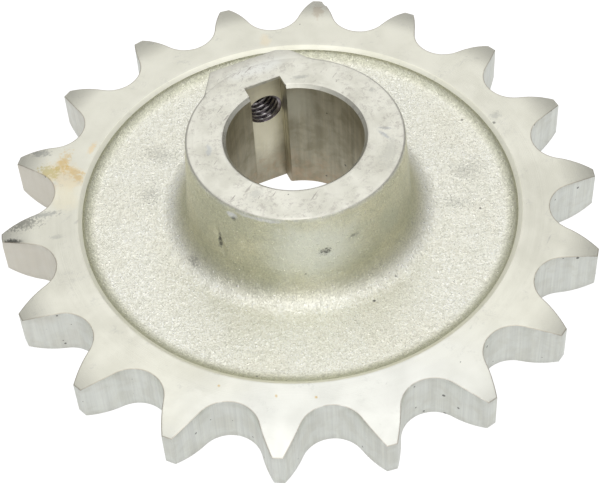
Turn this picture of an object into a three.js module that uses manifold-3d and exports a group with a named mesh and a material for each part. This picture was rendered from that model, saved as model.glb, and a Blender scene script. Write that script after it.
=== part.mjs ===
// Sprocket wheel for one-inch roller chain, 18 teeth, with a one-sided hub, a keyed bore and a set screw.
// Millimetres. +Z is the axis of the bore, hub up. Origin: on the axis, in the plane of the lower rim face.
// The keyway and the set screw look along +Y. Rim, web and hub are one casting on the real wheel.

import * as THREE from 'three';
import { mergeVertices } from 'three/addons/utils/BufferGeometryUtils.js';
import Module from 'manifold-3d';

const wasm = await Module();
wasm.setup();

const DEG = Math.PI / 180;

// Chain and teeth
const CHAIN_PITCH = 25.4;
const ROLLER_DIAMETER = 15.88;
const TEETH = 18;
const TOOTH_STEP = 360 / TEETH * DEG;
const PITCH_RADIUS = CHAIN_PITCH / 2 / Math.sin(Math.PI / TEETH);
const ROOT_RADIUS = PITCH_RADIUS - ROLLER_DIAMETER / 2;
const TIP_RADIUS = 78.45;
const SEAT_RADIUS = 8.1;
const SEAT_HALF_ANGLE = 62.5 * DEG;
const FLANK_RADIUS = 50;
const FIRST_TOOTH_ANGLE = 62 * DEG;

// Rim
const RIM_WIDTH = 14.6;
const RELIEF_RADIUS = 26;
const RELIEF_DEPTH = 1.9;
const RIM_LIP_RADIUS = 58.2;
const LIP_CHAMFER_RADIUS = 57.1;
const LIP_CHAMFER_DEPTH = 0.8;
const RIM_INNER_RADIUS = 53.3;

// Web
const RECESS_DEPTH = 2.4;
const WEB_TOP = RIM_WIDTH - RECESS_DEPTH;
const WEB_OUTER_RADIUS = 53;
const WEB_INNER_RADIUS = 37.4;

// Hub
const HUB_BOTTOM = 1.6;
const HUB_TOP = 39.6;
const HUB_TOP_RADIUS = 27.8;
const HUB_DRAFT = 1.4 / 20;
const HUB_EDGE = 0.7;
const HUB_FILLET = 7.5;
const HUB_FOOT_RADIUS = 37.1;
const BORE_RADIUS = 17.5;
const BORE_TOP_CHAMFER = 0.9;
const BORE_BOTTOM_CHAMFER = 1.2;
const KEYWAY_WIDTH = 10;
const KEYWAY_FLOOR = 21;

// Pad on the hub that carries the tapped hole
const PAD_FACE = 30.4;
const PAD_HALF_WIDTH = 10;
const PAD_SHOULDER_X = 17;
const PAD_SHOULDER_Y = 20.9;
const PAD_EDGE_DROP = 0.5;

// Set screw, M10 x 8 with hexagon socket and cup point, and its hole at the pitch diameter of the thread
const SCREW_HEIGHT = 29.4;
const SCREW_HOLE_RADIUS = 4.65;
const SCREW_RADIUS = 4.5;
const SCREW_LENGTH = 8;
const SCREW_POINT_Y = 28;
const SCREW_CHAMFER = 1;
const SCREW_CUP_RADIUS = 2.5;
const SCREW_CUP_DEPTH = 0.9;
const SOCKET_ACROSS_FLATS = 5;
const SOCKET_DEPTH = 4;

// Fineness of round shapes
const RIM_SEGMENTS = TEETH * 6;
const HUB_SEGMENTS = 72;
const SCREW_SEGMENTS = 32;
const SEAT_STEPS = 10;
const FLANK_STEPS = 3;
const RELIEF_STEPS = 4;
const FILLET_STEPS = 5;
const CUT_MARGIN = 5;

function toSolid(geometry) {
  const bare = geometry.clone();
  bare.deleteAttribute('normal');
  bare.deleteAttribute('uv');
  const merged = mergeVertices(bare);
  const mesh = new wasm.Mesh({
    numProp: 3,
    vertProperties: new Float32Array(merged.attributes.position.array),
    triVerts: new Uint32Array(merged.index.array),
  });
  mesh.merge();
  return new wasm.Manifold(mesh);
}

function toGeometry(solid) {
  const mesh = solid.getMesh();
  const geometry = new THREE.BufferGeometry();
  geometry.setAttribute('position', new THREE.BufferAttribute(mesh.vertProperties, 3));
  geometry.setIndex(new THREE.BufferAttribute(mesh.triVerts, 1));
  geometry.computeVertexNormals();
  return geometry;
}

// Ring or turned body from a closed profile of [radius, height] points, listed anticlockwise.
function turned(profile, segments, startAngle = 0) {
  const points = [...profile, profile[0]].map(([radius, height]) => new THREE.Vector2(radius, height));
  const geometry = new THREE.LatheGeometry(points, segments);
  geometry.rotateX(Math.PI / 2);
  geometry.rotateZ(startAngle);
  return toSolid(geometry);
}

// Upright prism between two heights from [x, y] points, listed anticlockwise.
function prism(points, bottom, top) {
  const shape = new THREE.Shape(points.map(([x, y]) => new THREE.Vector2(x, y)));
  const geometry = new THREE.ExtrudeGeometry(shape, { depth: top - bottom, bevelEnabled: false });
  geometry.translate(0, 0, bottom);
  return geometry;
}

function rotated([x, y], angle) {
  const c = Math.cos(angle);
  const s = Math.sin(angle);
  return [x * c - y * s, x * s + y * c];
}

// Points of an arc about [cx, cy], both ends included.
function arc(cx, cy, radius, from, to, steps) {
  return Array.from({ length: steps + 1 }, (_, i) => {
    const angle = from + (to - from) * i / steps;
    return [cx + radius * Math.cos(angle), cy + radius * Math.sin(angle)];
  });
}

// One tooth gap, centred on +X: roller seat, then a convex flank on each side up to the tip circle.
function gapOutline() {
  const seatCentre = ROOT_RADIUS + SEAT_RADIUS;
  const seatEnd = Math.PI - SEAT_HALF_ANGLE;
  const flankX = seatCentre + (SEAT_RADIUS + FLANK_RADIUS) * Math.cos(seatEnd);
  const flankY = (SEAT_RADIUS + FLANK_RADIUS) * Math.sin(seatEnd);
  const centreDistance = Math.hypot(flankX, flankY);
  const toCentre = Math.atan2(flankY, flankX);
  const cosAtTip = (TIP_RADIUS ** 2 + centreDistance ** 2 - FLANK_RADIUS ** 2) / (2 * TIP_RADIUS * centreDistance);
  const tipAngle = toCentre - Math.acos(cosAtTip);
  const tip = [TIP_RADIUS * Math.cos(tipAngle), TIP_RADIUS * Math.sin(tipAngle)];
  const flankStart = seatEnd - Math.PI;
  const flankEnd = Math.atan2(tip[1] - flankY, tip[0] - flankX);
  const flank = arc(flankX, flankY, FLANK_RADIUS, flankStart, flankEnd, FLANK_STEPS).slice(1);
  const lowerFlank = flank.map(([x, y]) => [x, -y]).reverse();
  const seat = arc(seatCentre, 0, SEAT_RADIUS, 2 * Math.PI - seatEnd, seatEnd, SEAT_STEPS);
  return [...lowerFlank, ...seat, ...flank];
}

// Outline of the whole toothed wheel, gap by gap.
function wheelOutline() {
  const gap = gapOutline();
  const firstGap = FIRST_TOOTH_ANGLE + TOOTH_STEP / 2;
  return Array.from({ length: TEETH }, (_, i) => gap.map((p) => rotated(p, firstGap + i * TOOTH_STEP))).flat();
}

// Upper half of the rim's section, from its inner wall out to past the tooth tips.
function rimUpperProfile() {
  const reliefStart = TIP_RADIUS - Math.sqrt(RELIEF_RADIUS ** 2 - (RELIEF_RADIUS - RELIEF_DEPTH) ** 2);
  const reliefAngle = Math.acos((RELIEF_RADIUS - RELIEF_DEPTH) / RELIEF_RADIUS);
  const steps = RELIEF_STEPS + 1;
  const relief = Array.from({ length: steps + 1 }, (_, i) => {
    const angle = reliefAngle * i / RELIEF_STEPS;
    const radius = reliefStart + RELIEF_RADIUS * Math.sin(angle);
    return [radius, RIM_WIDTH - RELIEF_RADIUS * (1 - Math.cos(angle))];
  });
  const filletDepth = RECESS_DEPTH - LIP_CHAMFER_DEPTH;
  const filletRun = LIP_CHAMFER_RADIUS - RIM_INNER_RADIUS;
  const fillet = Array.from({ length: FILLET_STEPS + 1 }, (_, i) => {
    const angle = Math.PI / 2 * i / FILLET_STEPS;
    return [RIM_INNER_RADIUS + filletRun * Math.sin(angle), WEB_TOP + filletDepth * (1 - Math.cos(angle))];
  });
  return [...fillet, [RIM_LIP_RADIUS, RIM_WIDTH], ...relief];
}

function toothedRim() {
  const upper = rimUpperProfile();
  const lower = upper.map(([radius, height]) => [radius, RIM_WIDTH - height]);
  const blank = turned([...lower, ...upper.reverse()], RIM_SEGMENTS, FIRST_TOOTH_ANGLE);
  const teeth = toSolid(prism(wheelOutline(), -CUT_MARGIN, RIM_WIDTH + CUT_MARGIN));
  return toGeometry(blank.intersect(teeth));
}

function webPlate() {
  const section = [
    [WEB_INNER_RADIUS, RECESS_DEPTH],
    [WEB_OUTER_RADIUS, RECESS_DEPTH],
    [WEB_OUTER_RADIUS, WEB_TOP],
    [WEB_INNER_RADIUS, WEB_TOP],
  ];
  return toGeometry(turned(section, HUB_SEGMENTS));
}

// Hub radius on its drafted side at a given height.
function hubRadius(height) {
  return HUB_TOP_RADIUS + HUB_DRAFT * (HUB_TOP - height);
}

function hubBlank() {
  const filletTop = WEB_TOP + HUB_FILLET;
  const sideRadius = hubRadius(filletTop);
  const fillet = arc(sideRadius + HUB_FILLET, filletTop, HUB_FILLET, 1.5 * Math.PI, Math.PI, FILLET_STEPS);
  const section = [
    [0, HUB_BOTTOM],
    [HUB_FOOT_RADIUS - HUB_EDGE, HUB_BOTTOM],
    [HUB_FOOT_RADIUS, HUB_BOTTOM + HUB_EDGE],
    [HUB_FOOT_RADIUS, WEB_TOP],
    ...fillet,
    [HUB_TOP_RADIUS, HUB_TOP - HUB_EDGE],
    [HUB_TOP_RADIUS - HUB_EDGE, HUB_TOP],
    [0, HUB_TOP],
  ];
  return turned(section, HUB_SEGMENTS);
}

// Flat-faced pad beside the hub, widening downwards by the same draft.
function screwPad() {
  const outline = [
    [-PAD_SHOULDER_X, PAD_SHOULDER_Y],
    [-BORE_RADIUS, 0],
    [BORE_RADIUS, 0],
    [PAD_SHOULDER_X, PAD_SHOULDER_Y],
    [PAD_HALF_WIDTH, PAD_FACE],
    [-PAD_HALF_WIDTH, PAD_FACE],
  ];
  const top = HUB_TOP - PAD_EDGE_DROP;
  const geometry = prism(outline, WEB_TOP - HUB_EDGE, top);
  const position = geometry.attributes.position;
  for (let i = 0; i < position.count; i += 1) {
    const spread = 1 + HUB_DRAFT * (top - position.getZ(i)) / PAD_FACE;
    position.setXY(i, position.getX(i) * spread, position.getY(i) * spread);
  }
  return toSolid(geometry);
}

function boreCutter() {
  const section = [
    [0, HUB_BOTTOM - CUT_MARGIN],
    [BORE_RADIUS + BORE_BOTTOM_CHAMFER + CUT_MARGIN, HUB_BOTTOM - CUT_MARGIN],
    [BORE_RADIUS, HUB_BOTTOM + BORE_BOTTOM_CHAMFER],
    [BORE_RADIUS, HUB_TOP - BORE_TOP_CHAMFER],
    [BORE_RADIUS + BORE_TOP_CHAMFER + CUT_MARGIN, HUB_TOP + CUT_MARGIN],
    [0, HUB_TOP + CUT_MARGIN],
  ];
  return turned(section, HUB_SEGMENTS);
}

function keywayCutter() {
  const geometry = new THREE.BoxGeometry(KEYWAY_WIDTH, KEYWAY_FLOOR, HUB_TOP + 2 * CUT_MARGIN);
  geometry.translate(0, KEYWAY_FLOOR / 2, HUB_TOP / 2);
  return toSolid(geometry);
}

// Cylinder along +Y at the height of the set screw.
function screwCylinder(radius, fromY, toY, segments = SCREW_SEGMENTS) {
  const geometry = new THREE.CylinderGeometry(radius, radius, toY - fromY, segments);
  geometry.translate(0, (fromY + toY) / 2, SCREW_HEIGHT);
  return toSolid(geometry);
}

function hub() {
  const tappedHole = screwCylinder(SCREW_HOLE_RADIUS, BORE_RADIUS, PAD_FACE + CUT_MARGIN);
  const body = hubBlank().add(screwPad());
  return toGeometry(body.subtract(boreCutter()).subtract(keywayCutter()).subtract(tappedHole));
}

function setScrew() {
  const length = SCREW_LENGTH;
  const section = [
    [0, SCREW_CUP_DEPTH],
    [SCREW_CUP_RADIUS, 0],
    [SCREW_RADIUS - SCREW_CHAMFER, 0],
    [SCREW_RADIUS, SCREW_CHAMFER],
    [SCREW_RADIUS, length - SCREW_CHAMFER],
    [SCREW_RADIUS - SCREW_CHAMFER, length],
    [0, length],
  ];
  const points = section.map(([radius, height]) => new THREE.Vector2(radius, height));
  const geometry = new THREE.LatheGeometry(points, SCREW_SEGMENTS);
  geometry.translate(0, SCREW_POINT_Y, SCREW_HEIGHT);
  const outerEnd = SCREW_POINT_Y + length;
  const socketRadius = SOCKET_ACROSS_FLATS / 2 / Math.cos(Math.PI / 6);
  const socket = screwCylinder(socketRadius, outerEnd - SOCKET_DEPTH, outerEnd + CUT_MARGIN, 6);
  return toGeometry(toSolid(geometry).subtract(socket));
}

function piece(name, geometry, color, roughness, metalness) {
  const material = new THREE.MeshStandardMaterial({ color, roughness, metalness });
  const mesh = new THREE.Mesh(geometry, material);
  mesh.name = name;
  return mesh;
}

const sprocket = new THREE.Group();
sprocket.add(piece('toothed_rim', toothedRim(), '#dedcd2', 0.42, 0.75));
sprocket.add(piece('web_plate', webPlate(), '#d2d1bf', 0.62, 0.65));
sprocket.add(piece('hub', hub(), '#c6c8b6', 0.55, 0.7));
sprocket.add(piece('set_screw', setScrew(), '#4a4548', 0.4, 0.9));

export default sprocket;
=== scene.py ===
"""Looks of a cast sprocket for one-inch roller chain: toothed rim, web with keyed hub, and set screw.

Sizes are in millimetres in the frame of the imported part: +Z is the axis of the bore with the hub up, the
origin lies on that axis in the plane of the lower rim face, and the keyway and the set screw look along +Y.
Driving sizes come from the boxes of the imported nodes. Sizes of node inputs are turned into metres.
"""
import logging
import math
from dataclasses import dataclass, replace
from enum import Enum, IntEnum

import bmesh
import bpy
import numpy as np
from mathutils import Matrix, Vector, noise


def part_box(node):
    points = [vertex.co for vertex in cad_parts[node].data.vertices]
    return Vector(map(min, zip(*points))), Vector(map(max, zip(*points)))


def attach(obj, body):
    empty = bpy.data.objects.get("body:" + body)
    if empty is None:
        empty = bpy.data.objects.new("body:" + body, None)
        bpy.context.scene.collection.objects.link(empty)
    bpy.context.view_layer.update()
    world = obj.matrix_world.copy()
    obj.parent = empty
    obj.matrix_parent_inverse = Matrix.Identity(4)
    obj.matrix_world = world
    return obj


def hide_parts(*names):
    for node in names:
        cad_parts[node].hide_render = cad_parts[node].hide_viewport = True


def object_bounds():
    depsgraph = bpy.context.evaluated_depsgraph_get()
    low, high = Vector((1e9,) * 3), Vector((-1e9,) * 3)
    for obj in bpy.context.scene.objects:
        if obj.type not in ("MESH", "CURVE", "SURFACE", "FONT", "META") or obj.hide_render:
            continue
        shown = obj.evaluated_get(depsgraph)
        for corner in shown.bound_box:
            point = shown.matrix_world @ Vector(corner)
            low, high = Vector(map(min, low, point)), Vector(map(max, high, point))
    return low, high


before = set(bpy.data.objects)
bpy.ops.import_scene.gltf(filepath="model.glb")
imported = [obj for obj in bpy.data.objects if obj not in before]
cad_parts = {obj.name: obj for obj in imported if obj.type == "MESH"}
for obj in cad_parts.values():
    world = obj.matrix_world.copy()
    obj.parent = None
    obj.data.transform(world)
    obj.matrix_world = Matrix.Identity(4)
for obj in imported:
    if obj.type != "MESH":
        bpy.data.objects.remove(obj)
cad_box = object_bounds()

MM = 0.001
TAU = 2 * math.pi
Measure = float | np.ndarray
Colour = tuple[float, float, float, float]
log = logging.getLogger("sprocket")


def corners(node: str) -> tuple[list[float], list[float]]:
    """Lowest and highest corner of a CAD node at rest.

    Args:
        node: name of the node.

    Returns:
        The two corners in millimetres, to a thousandth.
    """
    low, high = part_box(node)
    return [round(value / MM, 3) for value in low], [round(value / MM, 3) for value in high]


RIM_TOP = corners("toothed_rim")[1][2]
WEB_TOP = corners("web_plate")[1][2]
HUB_LOW, HUB_HIGH = corners("hub")
HUB_TOP = HUB_HIGH[2]
SCREW_LOW, SCREW_HIGH = corners("set_screw")
SCREW_HEIGHT = round((SCREW_LOW[2] + SCREW_HIGH[2]) / 2, 3)
JOINT_RADIUS = 57.1
JOINT_DEPTH = 0.8


class Zone(IntEnum):
    """Kind of surface that a face of a piece belongs to."""

    MACHINED = 0
    CAST = 1
    MILLED = 2
    BORED = 3
    THREAD = 4
    LIP = 5


def polar(radius: float, degrees: float, height: float) -> tuple[float, float, float]:
    """A point from its radius, its angle about the bore and its height."""
    turn = math.radians(degrees)
    return radius * math.cos(turn), radius * math.sin(turn), height


def smooth_max(a: np.ndarray, b: np.ndarray, reach: float) -> np.ndarray:
    """The greater of two values, rounded where they lie within reach of each other."""
    near = np.maximum(reach - np.abs(a - b), 0) / reach
    return np.maximum(a, b) + near * near * reach / 4


def smooth_step(value: np.ndarray) -> np.ndarray:
    """A soft step from 0 to 1 while the value goes from 0 to 1."""
    t = np.clip(value, 0, 1)
    return t * t * (3 - 2 * t)


# ---------------------------------------------------------------------------------------------- meshes


@dataclass
class Ring:
    """One closed row of points on a surface.

    Attributes:
        points: n points as an n by 3 array.
        zone: kind of surface between this ring and the next.
        wear_and_glint: how exposed the ring is to knocks, from 0 to 1; it also places painted highlights on
            some edges and on the thread's crests.
        grain: how much casting grain lifts it, from 0 to 1.
    """

    points: np.ndarray
    zone: Zone
    wear_and_glint: Measure = 0.0
    grain: float = 0.0


@dataclass
class Dent:
    """A knock that pushes the surface in along a short line.

    Attributes:
        start: one end of the line.
        end: the other end of the line.
        push: direction and depth of the knock.
        reach: half width of the mark.
    """

    start: tuple[float, float, float]
    end: tuple[float, float, float]
    push: tuple[float, float, float]
    reach: float

    def shift(self, points: np.ndarray) -> np.ndarray:
        """How far the knock moves each point.

        Args:
            points: n points as an n by 3 array.

        Returns:
            An n by 3 array of moves.
        """
        start, end = np.array(self.start), np.array(self.end)
        line = end - start
        along = np.clip((points - start) @ line / max(line @ line, 1e-9), 0, 1)
        away = np.linalg.norm(points - start - along[:, None] * line, axis=1)
        return np.exp(-((away / self.reach) ** 2))[:, None] * np.array(self.push)


class Skin:
    """Collects the rings, bands and fans of one closed surface, then makes a Blender object of it."""

    def __init__(self) -> None:
        """Starts an empty surface."""
        self.points: list[np.ndarray] = []
        self.wear_and_glint: list[np.ndarray] = []
        self.grain: list[np.ndarray] = []
        self.quads: list[np.ndarray] = []
        self.quad_zones: list[np.ndarray] = []
        self.triangles: list[np.ndarray] = []
        self.triangle_zones: list[np.ndarray] = []
        self.count = 0

    def add(self, ring: Ring) -> np.ndarray:
        """Adds a ring's points.

        Args:
            ring: the ring to add.

        Returns:
            The indices of its points.
        """
        size = len(ring.points)
        self.points.append(np.asarray(ring.points, float))
        self.wear_and_glint.append(np.broadcast_to(ring.wear_and_glint, size).astype(float))
        self.grain.append(np.broadcast_to(ring.grain, size).astype(float))
        self.count += size
        return np.arange(self.count - size, self.count)

    def band(self, lower: np.ndarray, upper: np.ndarray, zone: Zone, skip: np.ndarray | None = None) -> None:
        """Joins two rings of equal length with quads.

        Args:
            lower: indices of the first ring.
            upper: indices of the second ring.
            zone: kind of surface of the band.
            skip: True for each quad that is left out.
        """
        quads = np.stack([lower, np.roll(lower, -1), np.roll(upper, -1), upper], axis=1)
        if skip is not None:
            quads = quads[~skip]
        self.quads.append(quads)
        self.quad_zones.append(np.full(len(quads), int(zone)))

    def fan(self, rim: np.ndarray, middle: tuple[float, float, float], zone: Zone) -> None:
        """Closes a ring with triangles to one point.

        Args:
            rim: indices of the ring.
            middle: the point that the triangles meet at.
            zone: kind of surface of the fan.
        """
        centre = self.add(Ring(np.array([middle]), zone))[0]
        triangles = np.stack([rim, np.roll(rim, -1), np.full(len(rim), centre)], axis=1)
        self.triangles.append(triangles)
        self.triangle_zones.append(np.full(len(triangles), int(zone)))

    def lace(self, rings: list[Ring], close: bool = False) -> list[np.ndarray]:
        """Adds rings and joins each to the next.

        Args:
            rings: the rings in order.
            close: also join the last ring to the first.

        Returns:
            The indices of every ring.
        """
        rows = [self.add(ring) for ring in rings]
        for ring, row, following in zip(rings, rows, rows[1:] + rows[:1]):
            if following is not rows[0] or close:
                self.band(row, following, ring.zone)
        return rows

    def normals(self, points: np.ndarray) -> np.ndarray:
        """Unit normals at the points, from the quads around them.

        Args:
            points: all points of the surface.

        Returns:
            An n by 3 array.
        """
        quads = np.concatenate(self.quads)
        first, second, third, fourth = (points[quads[:, corner]] for corner in range(4))
        across = np.cross(third - first, fourth - second)
        total = np.zeros_like(points)
        for corner in range(4):
            np.add.at(total, quads[:, corner], across)
        return total / np.maximum(np.linalg.norm(total, axis=1, keepdims=True), 1e-12)

    def relief(self, size: float, depth: float) -> None:
        """Lifts the grained parts of the surface into the shallow lumps of a sand casting.

        Args:
            size: distance between lumps.
            depth: greatest lift or drop.
        """
        points = np.concatenate(self.points)
        grain = np.concatenate(self.grain)
        normals = self.normals(points)
        for index in np.nonzero(grain > 0)[0]:
            place = Vector(points[index]) / size
            lump = noise.noise(place) + 0.5 * noise.noise(place * 2.3)
            points[index] += normals[index] * lump * depth * grain[index]
        self.points = [points]

    def press(self, dents: tuple[Dent, ...]) -> None:
        """Pushes knocks into the surface."""
        points = np.concatenate(self.points)
        self.points = [points + sum(dent.shift(points) for dent in dents)]

    def to_object(
        self, name: str, finishes: dict[Zone, bpy.types.Material], crease: float
    ) -> bpy.types.Object:
        """Makes the Blender object.

        Args:
            name: name of the object and its mesh.
            finishes: the material of each kind of surface that the piece has.
            crease: angle in degrees above which an edge is sharp.

        Returns:
            The object, linked to the scene.
        """
        points = np.concatenate(self.points) * MM
        faces = [row.tolist() for block in self.quads + self.triangles for row in block]
        zones = np.concatenate(self.quad_zones + self.triangle_zones)
        mesh = bpy.data.meshes.new(name)
        mesh.from_pydata(points.tolist(), [], faces)
        slots = {int(zone): slot for slot, zone in enumerate(finishes)}
        mesh.polygons.foreach_set("material_index", [slots[zone] for zone in zones.tolist()])
        wear_and_glint = mesh.attributes.new("wear_and_glint", "FLOAT", "POINT")
        wear_and_glint.data.foreach_set("value", np.concatenate(self.wear_and_glint).astype(np.float32))
        for material in finishes.values():
            mesh.materials.append(material)
        shell = bmesh.new()
        shell.from_mesh(mesh)
        bmesh.ops.recalc_face_normals(shell, faces=shell.faces)
        shell.to_mesh(mesh)
        shell.free()
        mesh.shade_smooth()
        mesh.set_sharp_from_angle(angle=math.radians(crease))
        piece = bpy.data.objects.new(name, mesh)
        bpy.context.scene.collection.objects.link(piece)
        return piece


def circle(radius: Measure, height: Measure, turns: np.ndarray) -> np.ndarray:
    """Points around the bore axis.

    Args:
        radius: one radius, or one for each point.
        height: one height, or one for each point.
        turns: the angle of each point, in radians.

    Returns:
        An n by 3 array.
    """
    flat = np.ones_like(turns)
    return np.stack([radius * np.cos(turns), radius * np.sin(turns), height * flat], axis=1)


def mirrored(rings: list[Ring], width: float) -> list[Ring]:
    """The same rings on the lower side of the wheel, in reverse order, without the first.

    Args:
        rings: rings of the upper side, from the middle plane inwards.
        width: height of the wheel's upper face.

    Returns:
        The rings that lead back to the middle plane.
    """
    back = rings[::-1]
    flipped = []
    for ring, following in zip(back, back[1:]):
        points = ring.points * [1, 1, -1] + [0, 0, width]
        flipped.append(replace(ring, points=points, zone=following.zone))
    return flipped


# ------------------------------------------------------------------------------------------- node boards


class Kind(Enum):
    """Kinds of socket on a shared effect."""

    VALUE = "NodeSocketFloat"
    VECTOR = "NodeSocketVector"


Socket = bpy.types.NodeSocket
Given = Socket | float | tuple


class Board:
    """A node tree with short calls for placing and joining nodes."""

    def __init__(self, tree: bpy.types.NodeTree) -> None:
        """Takes over a node tree."""
        self.tree = tree

    def feed(self, socket: Socket, given: Given) -> None:
        """Joins a socket to another one, or sets its value."""
        if isinstance(given, bpy.types.NodeSocket):
            self.tree.links.new(given, socket)
        else:
            socket.default_value = given

    def place(self, kind: str, feeds: dict | None = None, **settings: object) -> bpy.types.Node:
        """Places a node.

        Args:
            kind: the node's type.
            feeds: what goes into its sockets, by name or number.
            settings: its own properties.

        Returns:
            The node.
        """
        node = self.tree.nodes.new(kind)
        for name, value in settings.items():
            setattr(node, name, value)
        for name, given in (feeds or {}).items():
            self.feed(node.inputs[name], given)
        return node

    def sum(self, operation: str, *terms: Given) -> Socket:
        """The result of a Math node."""
        return self.place("ShaderNodeMath", dict(enumerate(terms)), operation=operation).outputs[0]

    def vector(self, operation: str, *terms: Given, output: int = 0) -> Socket:
        """The result of a Vector Math node."""
        feeds = dict(enumerate(terms))
        return self.place("ShaderNodeVectorMath", feeds, operation=operation).outputs[output]

    def spread(
        self, value: Given, low: Given, high: Given, to_low: Given = 0.0, to_high: Given = 1.0
    ) -> Socket:
        """A value brought softly from one range to another."""
        feeds = {"Value": value, "From Min": low, "From Max": high, "To Min": to_low, "To Max": to_high}
        return self.place("ShaderNodeMapRange", feeds, interpolation_type="SMOOTHSTEP").outputs[0]

    def blend(self, share: Given, first: Given, second: Given, way: str = "MIX") -> Socket:
        """Two colours mixed."""
        node = self.place("ShaderNodeMix", {0: share, 6: first, 7: second}, data_type="RGBA", blend_type=way)
        return node.outputs[2]

    def cover(self, colour: Given, mask: Socket, strength: Given, over: Given) -> Socket:
        """A colour laid over another one where a mask says, with the given strength."""
        return self.blend(self.sum("MULTIPLY", mask, strength), colour, over)

    def grey(self, value: Socket) -> Socket:
        """A value as a grey colour."""
        return self.place("ShaderNodeCombineColor", {0: value, 1: value, 2: value}).outputs[0]

    def toned(self, colour: Socket, tone: Socket) -> Socket:
        """A colour made lighter or darker by a value around 1."""
        return self.blend(1.0, colour, self.grey(tone), "MULTIPLY")

    def from_axis(self, place: Socket) -> Socket:
        """Distance of a place from the axis of the bore."""
        parts = self.place("ShaderNodeSeparateXYZ", {0: place})
        flat = self.place("ShaderNodeCombineXYZ", {0: parts.outputs[0], 1: parts.outputs[1]}).outputs[0]
        return self.vector("LENGTH", flat, output=1)

    def noise(
        self, place: Given, scale: Given, detail: float = 2.0, rough: float = 0.5, warp: float = 0.0
    ) -> Socket:
        """The value of a Noise Texture."""
        feeds = {"Vector": place, "Scale": scale, "Detail": detail, "Roughness": rough, "Distortion": warp}
        return self.place("ShaderNodeTexNoise", feeds).outputs[0]

    def effect(self, effect: type["Effect"], **feeds: Given) -> dict[str, Socket]:
        """Places a shared effect.

        Args:
            effect: the effect's class.
            feeds: what goes into its inputs.

        Returns:
            Its outputs by name.
        """
        node = self.place("ShaderNodeGroup", node_tree=effect.shared())
        for name, given in feeds.items():
            self.feed(node.inputs[name], given)
        return {output.name: output for output in node.outputs}

    def mask(self, effect: type["Effect"], **feeds: Given) -> Socket:
        """The mask of a shared effect."""
        return self.effect(effect, **feeds)["Mask"]


class Effect:
    """A shared effect, kept as one shader node group."""

    title = ""
    inputs: tuple[tuple[str, Kind, object], ...] = ()
    outputs: tuple[tuple[str, Kind], ...] = ()
    group: bpy.types.NodeTree | None = None

    @classmethod
    def shared(cls) -> bpy.types.NodeTree:
        """The effect's node group, built the first time that it is asked for."""
        if cls.group is None:
            tree = bpy.data.node_groups.new(cls.title, "ShaderNodeTree")
            for name, kind, default in cls.inputs:
                socket = tree.interface.new_socket(name, in_out="INPUT", socket_type=kind.value)
                socket.default_value = default
            for name, kind in cls.outputs:
                tree.interface.new_socket(name, in_out="OUTPUT", socket_type=kind.value)
            board = Board(tree)
            given = {socket.name: socket for socket in board.place("NodeGroupInput").outputs if socket.name}
            made = cls.wire(board, given)
            out = board.place("NodeGroupOutput")
            for name, _ in cls.outputs:
                board.feed(out.inputs[name], made[name])
            cls.group = tree
        return cls.group

    @classmethod
    def wire(cls, board: Board, given: dict[str, Socket]) -> dict[str, Socket]:
        """Wires the effect.

        Args:
            board: the group's node board.
            given: the group's inputs by name.

        Returns:
            What feeds the group's outputs, by name.
        """
        raise NotImplementedError


class CastGrain(Effect):
    """Wormy grain of a sand casting: its height, and masks of its crests and hollows for painted glints and
    painted shade.
    """

    title = "Cast grain"
    inputs = (("Place", Kind.VECTOR, (0, 0, 0)), ("Size", Kind.VALUE, 0.0008))
    outputs = (("Height", Kind.VALUE), ("Crest glint", Kind.VALUE), ("Hollow shade", Kind.VALUE))

    @classmethod
    def wire(cls, board: Board, given: dict[str, Socket]) -> dict[str, Socket]:
        """Wires coarse lumps, worm tracks and fine sand into one height."""
        scale = board.sum("DIVIDE", 1.0, given["Size"])
        lumps = board.noise(given["Place"], board.sum("MULTIPLY", scale, 0.45), 2.0, 0.5, 0.3)
        worms = board.noise(given["Place"], scale, 1.0, 0.5, 0.9)
        track = board.sum("ABSOLUTE", board.sum("MULTIPLY_ADD", worms, 4.0, -2.0))
        sand = board.noise(given["Place"], board.sum("MULTIPLY", scale, 2.6), 2.0, 0.6)
        ridge = board.sum("MINIMUM", track, 1.0)
        height = board.sum("MULTIPLY_ADD", lumps, 0.9, board.sum("MULTIPLY", ridge, 0.45))
        height = board.sum("MULTIPLY_ADD", sand, 0.5, height)
        return {
            "Height": height,
            "Crest glint": board.spread(height, 1.0, 1.35),
            "Hollow shade": board.spread(height, 0.8, 0.55),
        }


class SoftPatches(Effect):
    """Soft cloudy patches."""

    title = "Soft patches"
    inputs = (
        ("Place", Kind.VECTOR, (0, 0, 0)),
        ("Size", Kind.VALUE, 0.01),
        ("Low", Kind.VALUE, 0.45),
        ("High", Kind.VALUE, 0.65),
    )
    outputs = (("Mask", Kind.VALUE),)

    @classmethod
    def wire(cls, board: Board, given: dict[str, Socket]) -> dict[str, Socket]:
        """Wires a cloudy noise between two levels."""
        cloud = board.noise(given["Place"], board.sum("DIVIDE", 1.0, given["Size"]), 5.0, 0.6, 0.4)
        return {"Mask": board.spread(cloud, given["Low"], given["High"])}


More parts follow.
